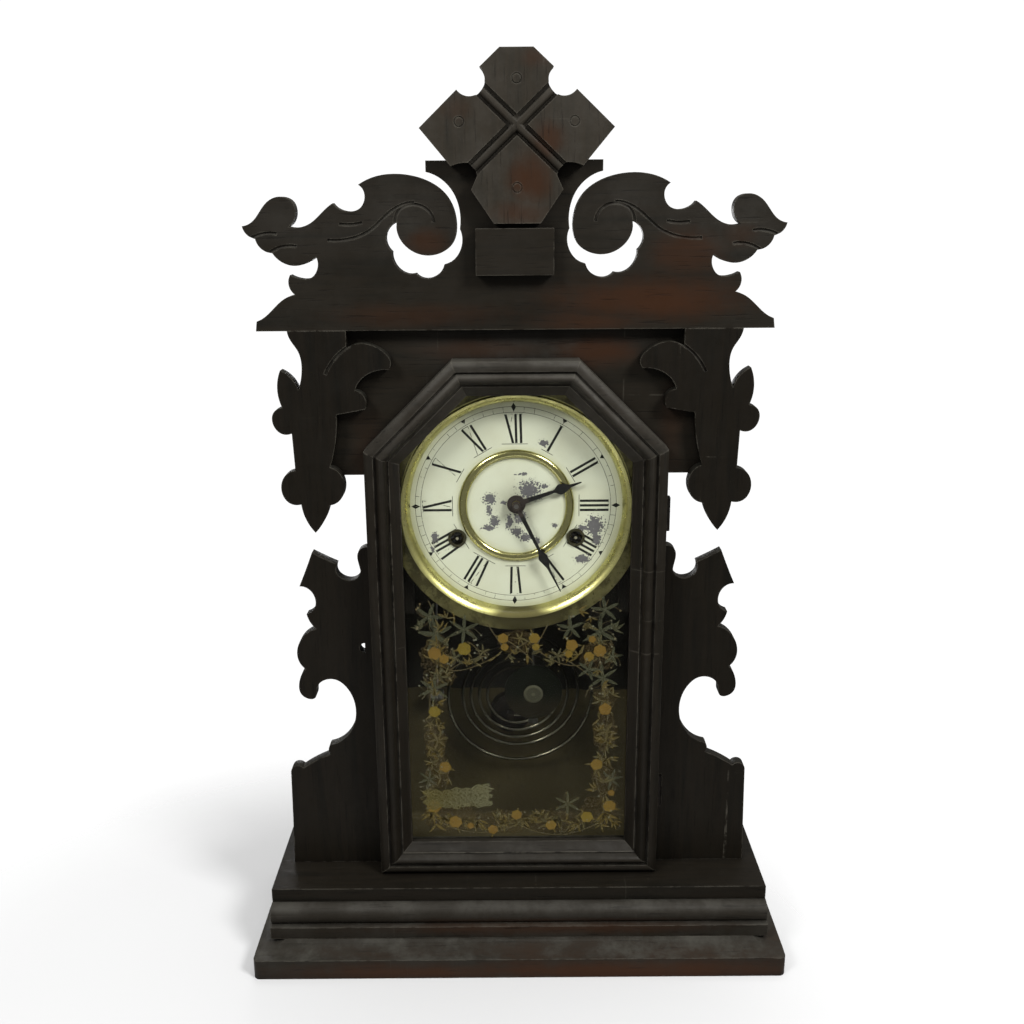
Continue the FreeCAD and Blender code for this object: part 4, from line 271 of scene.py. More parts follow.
def old_wood(name, along, red=0.3, film_and_sheen=0.5, dust_and_sheen=0.4, seed=0.0, light=1.0, warm=(), scratched=0.25,
             pale=()):
    """Dark shellacked wood: grain along one axis, pores, a grey film that is thicker in the pale ovals and on
    faces turned up, where it also stands for a painted sheen, worn red-brown in the warm ovals and in
    scattered places, with pale arrises that are worn and also painted as an edge highlight, fine scratches,
    painted shade darkening the corners, and dust that is also a painted sheen on faces turned up. The light
    share makes lighter and darker copies of the wood: partly its own tone, partly painted light and shade."""
    f = Finish(name)
    broad = f.noise(f.stretched(drawn_out(along, 7.0, 90.0), (seed, seed, seed)), 1.0, 6, 0.62, 0.35)
    fibre = f.noise(f.stretched(drawn_out(along, 40.0, 800.0), (seed, 0, seed)), 1.0, 3, 0.6)
    patches = f.noise(f.stretched(drawn_out(along, 5.0, 26.0), (seed, seed, 0)), 1.0, 6, 0.66)
    clouds = f.noise(f.stretched((1, 1, 1), (0, seed, seed)), 30.0, 7, 0.72)
    grime = f.noise(f.place(), 130.0, 6, 0.7)
    pores = fibre.between(0.58, 0.70)
    up = f.facing("z").between(0.15, 0.85)
    # The light share scales the wood's colours: partly the part's own tone, partly painted light and shade
    # for how strongly it is lit
    colour = f.ramp(broad, (0.30, toned(WOOD_BLACK, light)), (0.52, toned(WOOD_BROWN, light)),
                    (0.74, toned(WOOD_BLACK, light)))

    bare = patches.between(0.66 - 0.16 * red, 0.90 - 0.16 * red) * red
    veil_and_sheen = film_and_sheen
    x, z = across_and_up(f)
    ragged = (patches + clouds - 1.0) * 1.1
    for *oval, share in warm:
        bare = bare.most((patch(x, z, *oval) + ragged).between(1.25, 0.1) * share)
    for *oval, share in pale:
        veil_and_sheen = veil_and_sheen + (patch(x, z, *oval) + ragged).between(1.3, 0.3) * share
    # Painted sheen: the grey film is laid thicker on faces turned up, where the lamps above fall
    film_and_sheen_mask = (veil_and_sheen * (0.35 + 0.65 * clouds.between(0.35, 0.7)) * (0.55 + 0.75 * up)).least(1.0)
    colour = f.mix(film_and_sheen_mask, colour, toned(GREY_FILM_AND_SHEEN, light))
    colour = f.mix((bare * (0.40 + broad)).least(0.9), colour, WOOD_RED)

    # Pale arrises: worn edges, and also a painted edge highlight
    pale_and_lit = (f.edges(ARRIS) * grime.between(0.40, 0.64)).least(0.65)
    lines = scratches(f, (5, 5, 330), (seed, 0, 0), 0.75, 0.70)
    lines = lines.most(scratches(f, (330, 5, 5), (0, seed, 0), 0.35, 0.71))
    scored = lines * clouds.between(0.48, 0.58) * scratched
    colour = f.mix(pale_and_lit.most(scored), colour, WOOD_WORN_AND_LIT)
    colour = f.mix(pores * 0.42, colour, PORE_AND_SHADE)
    # Painted shade: corners darkened towards near black by how hidden they are
    corner = f.crevices(WOOD_CORNER).between(0.2, 0.8)
    colour = f.mix(corner * 0.7, colour, PORE_AND_SHADE)
    # Dust on faces turned up, where it also stands for a painted sheen from the lamps above
    dust_and_sheen_mask = (up * (0.2 + 1.1 * clouds.between(0.45, 0.72)) * dust_and_sheen).least(1.0)
    colour = f.mix(dust_and_sheen_mask, colour, DUST_AND_SHEEN)
    rough = 0.42 + 0.20 * grime.between(0.3, 0.75) + 0.2 * dust_and_sheen_mask
    height = broad * 0.55 - pores * 0.5 + grime * 0.3
    return f.surface(height, 0.25 * MM, 0.45, base_color=colour, roughness=rough, gloss=SHEEN)


def bare_wood(name, along, tone):
    """Unfinished wood inside the case: dull, streaked and dusty."""
    f = Finish(name)
    broad = f.noise(f.stretched(drawn_out(along, 7.0, 60.0)), 1.0, 6, 0.6, 0.4)
    grime = f.noise(f.place(), 60.0, 5, 0.65)
    dark = toned(tone, 0.45)
    colour = f.mix(broad.between(0.3, 0.7), dark, tone)
    colour = f.mix(grime.between(0.45, 0.75) * 0.5, colour, dark)
    return f.surface(broad + grime * 0.4, 0.4 * MM, 0.5, base_color=colour, roughness=0.62 + 0.2 * grime,
                     gloss=0.15)


def old_paper():
    """Paper pasted inside the case, gone olive brown, foxed and wrinkled."""
    f = Finish("lining_paper")
    place = f.place()
    foxed = f.noise(place, 30.0, 5, 0.65)
    fine = f.noise(place, 260.0, 4, 0.6)
    colour = f.mix(foxed.between(0.3, 0.75), PAPER_PALE, PAPER_DARK)
    colour = f.mix(fine.between(0.55, 0.75) * 0.5, colour, PAPER_FOXED)
    return f.surface(foxed + fine * 0.3, 0.8 * MM, 0.5, base_color=colour, roughness=0.75 + 0.1 * fine,
                     gloss=0.1)


# Radius of the bezel's raised ring, past which its flange is dull, and an oval at the ring's foot that is
# darkened as painted shade to dim the top lamp's reflection
BEZEL_WALL, WALL_FADE = 72.5, 0.5
FOOT_SHADE_OVAL = (2, -BEZEL_WALL, 27, 12)


def brass(name, tone, dull=0.35, rough=0.20, lacquer=0.0, flanged=False):
    """Brass gone olive: darker in blotches and corners, and on a flange; at its foot darkened further as
    painted shade.
    """
    f = Finish(name)
    place = f.place()
    blotch = f.noise(place, 55.0, 5, 0.65)
    speck = f.noise(place, 420.0, 3, 0.6)
    corner = f.crevices(BRASS_CORNER).between(0.3, 0.9)
    tarnish_and_shade = blotch.between(0.40, 0.72) * dull + corner * 0.55 + speck.between(0.60, 0.72) * 0.35
    if flanged:
        x, z = across_and_up(f, DIAL_CENTRE)
        radius = (x * x + z * z).math("SQRT")
        tarnish_and_shade = tarnish_and_shade + radius.between(BEZEL_WALL, BEZEL_WALL + WALL_FADE) * 0.8
        # Painted shade: an oval at the ring's foot, darkened and roughened to dim the top lamp's reflection
        foot = patch(x, z, *FOOT_SHADE_OVAL).between(1.0, 0.5)
        tarnish_and_shade = tarnish_and_shade + foot * (1 - tarnish_and_shade).most(0.0) * 0.95
    tarnish_and_shade = tarnish_and_shade.least(1.0)
    return f.surface(speck + blotch, 0.1 * MM, 0.12, base_color=f.mix(tarnish_and_shade, tone, TARNISH_AND_SHADE), metallic=1.0,
                     coat_weight=lacquer, coat_roughness=0.12,
                     roughness=rough + 0.30 * tarnish_and_shade + 0.08 * speck)


def steel(name, tone=(0.16, 0.155, 0.145), rust=0.35, rough=0.38, metal=1.0):
    """Dull steel or iron with rust in blotches."""
    f = Finish(name)
    blotch = f.noise(f.place(), 80.0, 6, 0.7)
    speck = f.noise(f.place(), 600.0, 3, 0.6)
    eaten = blotch.between(0.5, 0.72) * rust
    return f.surface(speck + blotch, 0.15 * MM, 0.5, base_color=f.mix(eaten, tone, RUST),
                     metallic=metal * (1 - eaten), roughness=rough + 0.35 * eaten + 0.1 * speck)


# Shares of the coil's height where the painted shade of the upper turns starts and where the wire is fully
# painted as lit
SHADE_SHARE, LIT_SHARE = 0.60, 0.25


def gong_wire():
    """Blued wire, painted dark above as the dial's shadow, and painted lighter and metallic along its lower
    turns as lit from above.
    """
    f = Finish("gong_wire")
    place = f.place()
    low, high = low_high("gong_coil")
    shaded_from, pale_and_lit = (float(low[2] + (high[2] - low[2]) * share) for share in (SHADE_SHARE, LIT_SHARE))
    blotch = f.noise(place, 90.0, 5, 0.65)
    # Painted light and shade: the wire is dark above the shaded height, light and metallic below it
    bright = f.axis(place, "z").between(shaded_from, pale_and_lit)
    colour = f.mix(bright * (0.55 + 0.6 * blotch).least(1.0), WIRE_SHADED, WIRE_LIT)
    return f.surface(blotch, 0.05 * MM, 0.3, base_color=colour, metallic=bright,
                     roughness=0.18 + 0.12 * blotch, gloss=0.05)


# Radii on the bob: the raised ring round its boss, the dish inside the ring, and the boss's bright middle
BOB_RING, BOB_DISH, BOB_DISH_EDGE, BOB_BOSS, BOB_FADE = 6.6, 4.0, 5.6, 1.6, 0.5
BOB_GREEN_ABOVE, BOB_BROWN_BELOW = 2.0, -12.0


def bob_metal():
    """Brass gone nearly black, greenish above and brown below, with a paler boss in the middle."""
    f = Finish("bob_metal")
    low, high = low_high("pendulum_bob")
    middle = (low + high) / 2 / MM
    x, z = across_and_up(f)
    radius = patch(x, z, middle[0], middle[2], 1, 1)
    blotch = f.noise(f.place(), 120.0, 5, 0.65)
    dish = 0.62 + 0.38 * radius.between(BOB_DISH, BOB_DISH_EDGE)
    ring = radius.between(BOB_RING, BOB_RING - BOB_FADE) * dish * (0.6 + 0.5 * blotch)
    boss = ring.most(radius.between(BOB_BOSS, BOB_BOSS - BOB_FADE))
    colour = f.mix(blotch, BOB_BLACK, BOB_GREEN)
    below = (z - float(middle[2])).between(BOB_GREEN_ABOVE, BOB_BROWN_BELOW)
    colour = f.mix(below * 0.8, colour, BOB_BROWN)
    colour = f.mix(boss.least(1.0), colour, BOB_PALE)
    return f.surface(blotch, 0.1 * MM, 0.4, base_color=colour, metallic=0.2, roughness=0.6 + 0.2 * blotch,
                     gloss=0.04)


ARBOR_WORN, ARBOR_FADE = 1.15, 0.75


def winding_steel():
    """Dark squared arbor whose worn end shines in the middle."""
    f = Finish("winding_steel")
    low, high = (corner / MM for corner in low_high("winding_grommets"))
    half = float(high[2] - low[2]) / 2
    x, z = across_and_up(f)
    radius = patch(x.math("ABSOLUTE"), z, float(high[0]) - half, float(high[2]) - half, 1, 1)
    blotch = f.noise(f.place(), 300.0, 4, 0.6)
    colour = f.mix(radius.between(ARBOR_WORN, ARBOR_FADE), ARBOR_DARK, ARBOR_BRIGHT)
    return f.surface(blotch, 0.05 * MM, 0.3, base_color=colour, metallic=0.8, roughness=0.35 + 0.2 * blotch)


# Worn places of the dial: across and up from its centre, half width and half height, in millimetres
DIAL_LOSSES = [
    (8.2, 9.9, 7.6, 6.2), (18.0, 12.4, 2.4, 1.5), (2.5, -7.5, 3.8, 4.0), (-4.3, -11.0, 2.4, 5.2),
    (0.5, -17.0, 3.6, 3.0), (5.5, -20.5, 4.4, 2.8), (-16.4, 4.4, 4.0, 3.8), (-17.2, -2.6, 1.8, 3.8),
    (-13.8, -9.8, 3.0, 3.8), (-17.8, -14.2, 3.8, 2.0), (49.4, -13.6, 6.0, 6.6), (50.5, -21.5, 3.2, 4.4),
    (42.5, -14.8, 3.8, 1.9), (42.0, -35.3, 4.8, 3.0), (17.3, 40.0, 3.6, 2.1), (-51.5, -20.5, 2.2, 3.2),
    (-52.8, -28.0, 1.8, 2.2), (13.0, -23.5, 1.8, 2.8), (24.0, -13.0, 1.5, 1.5), (4.5, 20.5, 2.8, 1.0),
    (-0.5, 20.2, 1.0, 0.5), (-8.0, 2.0, 2.0, 1.4),
]


def dial_loss(f):
    """1 where the dial's paint has gone: ragged ovals, with specks round them."""
    place = f.place()
    x, z = across_and_up(f, DIAL_CENTRE)
    nearest = None
    for worn_place in DIAL_LOSSES:
        oval = patch(x, z, *worn_place)
        nearest = oval if nearest is None else nearest.least(oval)
    ragged = f.noise(place, 380.0, 8, 0.80) - 0.5
    flakes = f.cells(place, 850.0) - 0.45
    gone = (nearest + ragged * 2.2 + flakes * 1.2).between(1.04, 0.96)
    specks = f.noise(place, 900.0, 3, 0.6).between(0.66, 0.68) * nearest.between(2.3, 1.2)
    return gone.most(specks)


# Radii on the dial: the inner ring and the yellowing round it, the yellowed rim, and the smoky middle
RING_MIDDLE, RING_YELLOW = 33.5, 6.0
RIM_START, RIM_END = 61.0, 68.0
SMOKE_REACH, SMOKE_CORE = 21.0, 5.0


def dial_paint():
    """Ivory paint on tin: yellowed by the rings, stained, flaked to grey metal in ragged places."""
    f = Finish("dial_ivory")
    place = f.place()
    x, z = across_and_up(f, DIAL_CENTRE)
    radius = (x * x + z * z).math("SQRT")
    stain = f.noise(place, 42.0, 5, 0.6)
    mottle = f.noise(place, 160.0, 4, 0.6)
    near_ring = (1 - (radius - RING_MIDDLE).math("ABSOLUTE") / RING_YELLOW).most(0.0)
    yellowed = near_ring + radius.between(RIM_START, RIM_END)
    colour = f.mix(stain.between(0.35, 0.72) * 0.6, IVORY, IVORY_STAIN)
    colour = f.mix((yellowed * 0.55 * (0.4 + mottle)).least(0.8), colour, IVORY_YELLOW)
    smoke = radius.between(SMOKE_REACH, SMOKE_CORE) * (0.3 + mottle)
    colour = f.mix((smoke * 0.75).least(1.0), colour, toned(IVORY_STAIN, 0.62))
    specks = f.noise(place, 900.0, 2, 0.5).between(0.70, 0.76)
    colour = f.mix(specks * 0.4, colour, toned(IVORY_STAIN, 0.3))
    loss = dial_loss(f)
    metal = f.mix(f.noise(place, 500.0, 4, 0.6), toned(BARE_TIN, 0.7), toned(BARE_TIN, 1.25))
    return f.surface(1 - loss, 0.12 * MM, 0.9, base_color=f.mix(loss, colour, metal),
                     roughness=0.42 + 0.25 * mottle + 0.1 * loss, gloss=0.3)


def dial_ink(name, worn):
    """Black printing ink, gone where the paint has flaked and thin in places."""
    f = Finish(name)
    thin = f.noise(f.place(), 230.0, 5, 0.7)
    f.surface(base_color=f.mix(thin, INK_BLACK, INK_GREY), roughness=0.5 + 0.2 * thin,
              gloss=0.2)
    return f.see_through(dial_loss(f).most(thin.between(0.66 - worn, 0.72 - worn)))


def clear_glass():
    """Clear window glass with a faint gloss at a slant and a little dirt."""
    f = Finish("door_pane")
    smear = f.noise(f.place(), 22.0, 5, 0.65)
    f.surface(base_color=f.mix(smear, SMEAR_DARK, SMEAR_PALE), roughness=0.45 + 0.3 * smear,
              gloss=0.1)
    gloss = f.node("BsdfGlossy", {}, {"Color": (1, 1, 1, 1), "Roughness": 0.04})
    clear = f.node("BsdfTransparent", {}, [(*PANE_TINT, 1)])
    slant = f.node("Fresnel", {}, {"IOR": 1.5})
    pane = f.node("MixShader", {}, [slant * GLASS_GLOSS, clear, gloss])
    dirty = f.node("MixShader", {}, [smear.between(0.3, 0.9) * 0.02 + 0.001, pane, f.shader])
    f.tree.links.new(dirty.socket, f.output.inputs["Surface"])
    return f.owner


def glass_paint(name, light, dark, gone=0.62, cover=1.0, grain=210.0):
    """Thin stencilled paint on glass: two tones that drift into each other, rubbed off in specks."""
    f = Finish(name)
    place = f.place()
    drift = f.noise(place, grain, 4, 0.6)
    speck = f.noise(place, 620.0, 4, 0.7)
    tone = f.node("Attribute", {"attribute_name": "tone"}, output="Fac")
    colour = f.mix((drift * 0.9 + tone * 0.9 - 0.45).between(0.0, 0.9), light, dark)
    f.surface(base_color=colour, roughness=0.5 + 0.3 * drift, gloss=0.15)
    return f.see_through(1 - (1 - speck.between(gone, gone + 0.12)) * cover * (0.7 + 0.6 * drift).least(1.0))


HUB_RADIUS = 9


def hand_paint():
    """Blued steel hands, nearly black, with bare specks, gone brown round the arbor."""
    f = Finish("hand_black")
    speck = f.noise(f.place(), 500.0, 4, 0.7)
    low, high = (corner / MM for corner in low_high("hand_nut"))
    x, z = across_and_up(f)
    hub = patch(x, z, 0, float(low[2] + high[2]) / 2, HUB_RADIUS, HUB_RADIUS)
    colour = f.mix(speck.between(0.45, 0.8), HAND_BLACK, HAND_BARE)
    colour = f.mix(hub.between(1.0, 0.8) * (0.5 + 0.5 * speck), colour, HUB_BROWN)
    return f.surface(speck, 0.06 * MM, 0.4, base_color=colour, metallic=0.2, roughness=0.42 + 0.3 * speck,
                     gloss=0.25)


# The floor's half width, its middle, and the shares of the half width where it starts and ends its fade
FLOOR_REACH, FLOOR_MIDDLE, FLOOR_FADE_SHARES = 0.41, (-0.11, -0.12), (0.52, 1.0)


def studio_floor():
    """Plain white paper, very slightly uneven, that thins out to the white behind it."""
    f = Finish("pale_floor")
    place = f.place()
    drift = f.noise(place, 2.0, 2, 0.5)
    f.surface(base_color=f.mix(drift, FLOOR_DARK, FLOOR_PALE), roughness=0.85 + 0.05 * drift,
              gloss=0.1)
    away = patch(f.axis(place, "x"), f.axis(place, "y"), *FLOOR_MIDDLE, FLOOR_REACH, FLOOR_REACH)
    return f.see_through(away.between(*FLOOR_FADE_SHARES))


# Meshes

def linked(name, data):
    """A new object in the scene."""
    thing = bpy.data.objects.new(name, data)
    bpy.context.scene.collection.objects.link(thing)
    return thing


def piece(name, corners, faces, finish, body, tone=None):
    """A smooth mesh of quads from arrays of corners and of corner numbers, riding on a body."""
    mesh = bpy.data.meshes.new(name)
    mesh.from_pydata(np.asarray(corners, dtype=float).tolist(), [], np.asarray(faces, dtype=int).tolist())
    mesh.polygons.foreach_set("use_smooth", np.full(len(mesh.polygons), True))
    if tone is not None:
        attribute = mesh.attributes.new("tone", "FLOAT", "POINT")
        attribute.data.foreach_set("value", np.asarray(tone, dtype=np.float32))
    mesh.materials.append(finish)
    mesh.update()
    thing = linked(name, mesh)
    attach(thing, body)


def sheet_faces(rows, columns):
    """Corner numbers of the quads of a grid."""
    i, j = np.meshgrid(np.arange(rows - 1), np.arange(columns - 1), indexing="ij")
    first = i * columns + j
    return np.stack([first, first + 1, first + columns + 1, first + columns], -1).reshape(-1, 4)


def join_flat(shapes, y):
    """Joins flat shapes, each of (x, z) corners, quads and a tone, into one set in the plane at depth y."""
    corners, faces, tones, start = [], [], [], 0
    for points, quads, tone in shapes:
        corners.append(np.column_stack([points[:, 0], np.full(len(points), y), points[:, 1]]))
        faces.append(quads + start)
        tones.append(np.full(len(points), tone))
        start += len(points)
    return np.vstack(corners), np.vstack(faces), np.concatenate(tones)


# The dial's printing

# Widths of the strokes, radii of the numerals, and how the printing sits off the centre
THICK, THIN = 1.55, 0.36
NUMERAL_FOOT, NUMERAL_TOP, FOOT_LINE_REACH, SERIF_SHORT = 40.2, 58.2, 5.0, 0.4
PRINT_SHIFT, PRINT_BOW, PRINT_REACH = 0.3, 1.0, 63.0
INK_LIFT = 0.03 * MM
# Each letter's advance, and its strokes: start and end, across in millimetres and up as a share of the height
LETTERS = {
    "I": (3.0, [((0.0, 0.0), (0.0, 1.0), THICK)]),
    "V": (5.0, [((-2.1, 1.0), (0.1, 0.0), THICK), ((2.2, 1.0), (0.35, 0.0), THIN)]),
    "X": (5.0, [((-2.2, 1.0), (2.0, 0.0), THICK), ((2.2, 1.0), (-2.1, 0.0), THIN)]),
}
HOURS = ["XII", "I", "II", "III", "IIII", "V", "VI", "VII", "VIII", "IX", "X", "XI"]
ONE_QUAD = np.array([[0, 1, 2, 3]])


def printed(points):
    """Places in metres for printing in millimetres about the dial's centre. It sits a little left, and
    further left towards its top and foot, by the square of the height."""
    slip = PRINT_SHIFT + PRINT_BOW * (points[:, 1] / PRINT_REACH) ** 2
    return (points - np.column_stack([slip, np.zeros(len(points))])) * MM + (0.0, DIAL_CENTRE)


def on_dial(across, out, clockwise):
    """Corners in metres, from millimetres across and out that are turned clockwise from twelve."""
    s, c = math.sin(clockwise), math.cos(clockwise)
    return printed(np.column_stack([across * c + out * s, out * c - across * s]))


def bar(start, end, width, clockwise):
    """A quad of even width between two places (across, out) of a numeral, with level ends."""
    (a, b), (c, d) = start, end
    half = width / 2
    across = np.array([a - half, a + half, c + half, c - half])
    out = np.array([b, b, d, d])
    return on_dial(across, out, clockwise), ONE_QUAD, 0.0


def arc_band(inner, outer, start, end, steps):
    """A strip between two radii, from one clockwise angle to another."""
    turn = np.linspace(start, end, steps)
    out = np.concatenate([np.full(steps, inner), np.full(steps, outer)])
    turn = np.concatenate([turn, turn])
    return printed(np.column_stack([out * np.sin(turn), out * np.cos(turn)])), sheet_faces(2, steps), 0.0


INK = dial_ink("numeral_ink", 0.0)
FAINT_INK = dial_ink("track_ink", 0.05)
WORN_INK = dial_ink("worn_ink", 0.2)


def print_on_dial(name, shapes, ink):
    """Joins flat shapes into one piece of ink just in front of the dial's paint."""
    corners, faces, _ = join_flat(shapes, DIAL_FACE - INK_LIFT)
    piece(name, corners, faces, ink, "case")


def letter_strokes(letter, middle, clockwise):
    """The strokes of one letter of a numeral, each with its width."""
    rise = NUMERAL_TOP - NUMERAL_FOOT
    made = []
    for (a, b), (c, d), width in LETTERS[letter][1]:
        start, end = (middle + a, NUMERAL_FOOT + b * rise), (middle + c, NUMERAL_FOOT + d * rise)
        made.append((bar(start, end, width, clockwise), width))
    return made


def numerals():
    """Twelve radial numerals of thick strokes, with a long line at the foot of each and worn thin strokes."""
    strokes = {THICK: [], THIN: []}
    for hour, letters in enumerate(HOURS):
        clockwise = math.radians(30 * hour)
        total = sum(LETTERS[letter][0] for letter in letters)
        left = -total / 2
        for letter in letters:
            advance = LETTERS[letter][0]
            middle = left + advance / 2
            for shape, width in letter_strokes(letter, middle, clockwise):
                strokes[width].append(shape)
            strokes[THIN].append(bar((middle, NUMERAL_TOP), (middle, NUMERAL_TOP + THIN),
                                     advance - SERIF_SHORT, clockwise))
            left += advance
        strokes[THICK].append(bar((0.0, NUMERAL_FOOT - 2 * THIN), (0.0, NUMERAL_FOOT - THIN),
                                  total + FOOT_LINE_REACH, clockwise))
    print_on_dial("dial_numerals", strokes[THICK], INK)
    print_on_dial("dial_hairlines", strokes[THIN], WORN_INK)


TRACK_INNER, TRACK_OUTER, TRACK_LINE, TRACK_STEPS = 59.4, 62.9, 0.26, 181
# Half width and reach inward and outward of the marks at the quarters and at the other hours
DIAMOND, POINT = (1.5, 3.0, 2.6), (1.6, 2.4, 0.3)


def minute_track():
    """Two thin rings with minute ticks between them, diamonds at the quarters and points at the hours."""
    rings = [arc_band(radius, radius + TRACK_LINE, 0, math.tau, TRACK_STEPS)
             for radius in (TRACK_INNER, TRACK_OUTER)]
    ticks = [bar((0.0, TRACK_INNER), (0.0, TRACK_OUTER), TRACK_LINE, math.tau * minute / 60)
             for minute in range(60)]
    marks = []
    for hour in range(12):
        across, inward, outward = DIAMOND if hour % 3 == 0 else POINT
        out = TRACK_OUTER + np.array([outward, 0, -inward, 0])
        points = on_dial(np.array([0, across, 0, -across]), out, math.tau * hour / 12)
        marks.append((points, ONE_QUAD, 0.0))
    print_on_dial("dial_track", rings, FAINT_INK)
    print_on_dial("dial_ticks", ticks, WORN_INK)
    print_on_dial("dial_marks", marks, INK)


# The flower border on the door's glass

LEAF_STEPS, LEAF_EDGE = 9, 0.06
STEM_STEPS, STEM_TONE = 14, 0.5


def leaf(x, z, angle, length, width, tone, bend):
    """A pointed leaf: half its width is a sine of the way along, on a spine that bends sideways."""
    t = np.linspace(0, 1, LEAF_STEPS)
    half = width / 2 * np.sin(np.pi * t ** 0.8) + LEAF_EDGE
    spine = bend * length * t * t
    along = t * length
    c, s = math.cos(angle), math.sin(angle)
    sides = [np.column_stack([x + along * c - off * s, z + along * s + off * c])
             for off in (spine - half, spine + half)]
    return np.vstack(sides) * MM, sheet_faces(2, LEAF_STEPS), tone


def disc(x, z, radius, lobes, deep, turn, tone, steps, sharp=1.0):
    """A lobed round, fanned from its middle: along each lobe its radius falls as a power of the way to the
    next lobe; a power above one makes a star, one below it petals."""
    a = np.linspace(0, 2 * np.pi, steps, endpoint=False)
    away = 2 * np.abs(((a - turn) * lobes / (2 * np.pi) + 0.5) % 1 - 0.5)
    r = radius * (1 - deep + deep * (1 - away) ** sharp)
    edge = np.column_stack([x + r * np.cos(a), z + r * np.sin(a)])
    k = np.arange(0, steps, 2)
    fan = np.column_stack([np.zeros_like(k), 1 + k, 2 + k, 1 + (k + 2) % steps])
    return np.vstack([[(x, z)], edge]) * MM, fan, tone


def stem(points, width):
    """A thin stroke along a smooth curve through three places."""
    t = np.linspace(0, 1, STEM_STEPS)[:, None]
    a, b, c = np.array(points, dtype=float).reshape(3, 2)
    control = 2 * b - (a + c) / 2
    line = (1 - t) ** 2 * a + 2 * t * (1 - t) * control + t * t * c
    along = np.gradient(line, axis=0)
    along /= np.linalg.norm(along, axis=1, keepdims=True)
    normal = np.column_stack([-along[:, 1], along[:, 0]]) * width / 2
    return np.vstack([line - normal, line + normal]) * MM, sheet_faces(2, STEM_STEPS), STEM_TONE


# Blossoms of the border: across and up in millimetres, size, and 0 for orange to 1 for yellow
BLOSSOMS = [
    (-53, 202, 4.7, 0.1), (-47, 198, 3.7, 0.3), (-34, 205, 4.6, 0.9), (-9, 212, 3.9, 0.3),
    (-8, 206, 2.6, 0.3), (11, 212, 3.9, 0.5), (12, 206, 2.6, 0.6), (35, 207, 4.3, 0.2), (33, 201, 2.8, 0.4),
    (46, 199, 3.6, 0.3), (53, 203, 4.7, 0.2), (48, 211, 2.4, 0.2), (-54, 161, 4.2, 0.9),
    (57, 162, 4.6, 0.1), (-48, 121, 4.4, 0.2), (52, 122, 4.3, 0.4), (-56, 92, 5.2, 0.3),
    (-42, 80, 4.8, 0.2), (-17, 74, 3.9, 0.0), (-1, 85, 3.7, 0.3), (22, 77, 3.9, 0.3), (46, 83, 4.4, 0.7),
    (61, 91, 4.6, 0.4), (62, 101, 2.5, 0.0), (-32, 77, 2.4, 0.1),
]
# Star-shaped leaves: across, up, reach, turn in degrees, and 0 for grey-green to 1 for yellow
STARS = [
    (-56, 227, 9.5, 70, 0.0), (-52, 215, 11.5, 100, 0.0), (-34, 218, 10.5, 85, 0.0),
    (-54, 177, 10.5, 265, 0.2), (-40, 199, 7.0, 30, 0.4), (-59, 112, 7.5, 80, 0.2),
    (-52, 141, 7.0, 250, 0.8), (-60, 101, 6.0, 30, 0.5), (56, 231, 9.5, 100, 0.0), (53, 216, 12.0, 90, 0.0),
    (34, 219, 9.0, 95, 0.0), (55, 184, 10.5, 275, 0.1), (46, 190, 8.0, 215, 0.1), (61, 199, 7.0, 80, 0.1),
    (58, 146, 7.5, 60, 0.7), (62, 111, 8.0, 75, 0.1), (33, 93, 9.0, 90, 0.3), (-22, 203, 5.0, 20, 0.5),
    (26, 200, 5.5, 140, 0.4), (-57, 152, 4.5, 200, 0.8),
]
# Tufts of narrow leaves: across, up, length, how many, their lean and fan in degrees, and how yellow
TUFTS = [
    (-50, 186, 8, 5, 0, 300, 0.3), (-46, 188, 7, 4, 40, 180, 0.4), (-55, 131, 8, 4, 60, 120, 0.8),
    (-50, 128, 13, 2, 115, 30, 0.8), (-57, 124, 6, 5, 90, 220, 0.7), (-46, 112, 5, 3, 260, 100, 0.8),
    (-58, 88, 11, 6, 265, 110, 0.9), (-50, 84, 10, 4, 280, 80, 0.8), (-38, 82, 11, 3, 310, 50, 0.8),
    (-27, 80, 9, 5, 250, 140, 0.8), (-14, 82, 8, 5, 60, 150, 0.6), (-10, 80, 9, 4, 290, 90, 0.7),
    (3, 82, 9, 5, 300, 120, 0.8), (10, 79, 8, 5, 80, 140, 0.8), (16, 84, 7, 4, 120, 100, 0.7),
    (27, 84, 12, 3, 270, 50, 0.7), (40, 78, 9, 3, 240, 60, 0.8), (58, 86, 11, 6, 275, 100, 0.9),
    (64, 80, 8, 4, 300, 80, 0.9), (52, 103, 8, 4, 150, 90, 0.8), (57, 138, 9, 5, 110, 130, 0.8),
    (60, 127, 7, 4, 300, 120, 0.8), (62, 172, 6, 4, 60, 160, 0.5), (57, 171, 5, 4, 120, 140, 0.4),
    (-43, 214, 10, 2, 235, 30, 0.3), (45, 214, 9, 2, 310, 30, 0.5), (-6, 201, 9, 2, 320, 20, 0.3),
    (9, 201, 9, 2, 25, 20, 0.4), (2, 212, 6, 6, 90, 320, 0.6), (62, 217, 8, 4, 60, 120, 0.0),
    (-61, 219, 7, 4, 130, 120, 0.0), (-29, 196, 8, 3, 10, 60, 0.4), (24, 195, 8, 3, 170, 60, 0.4),
]
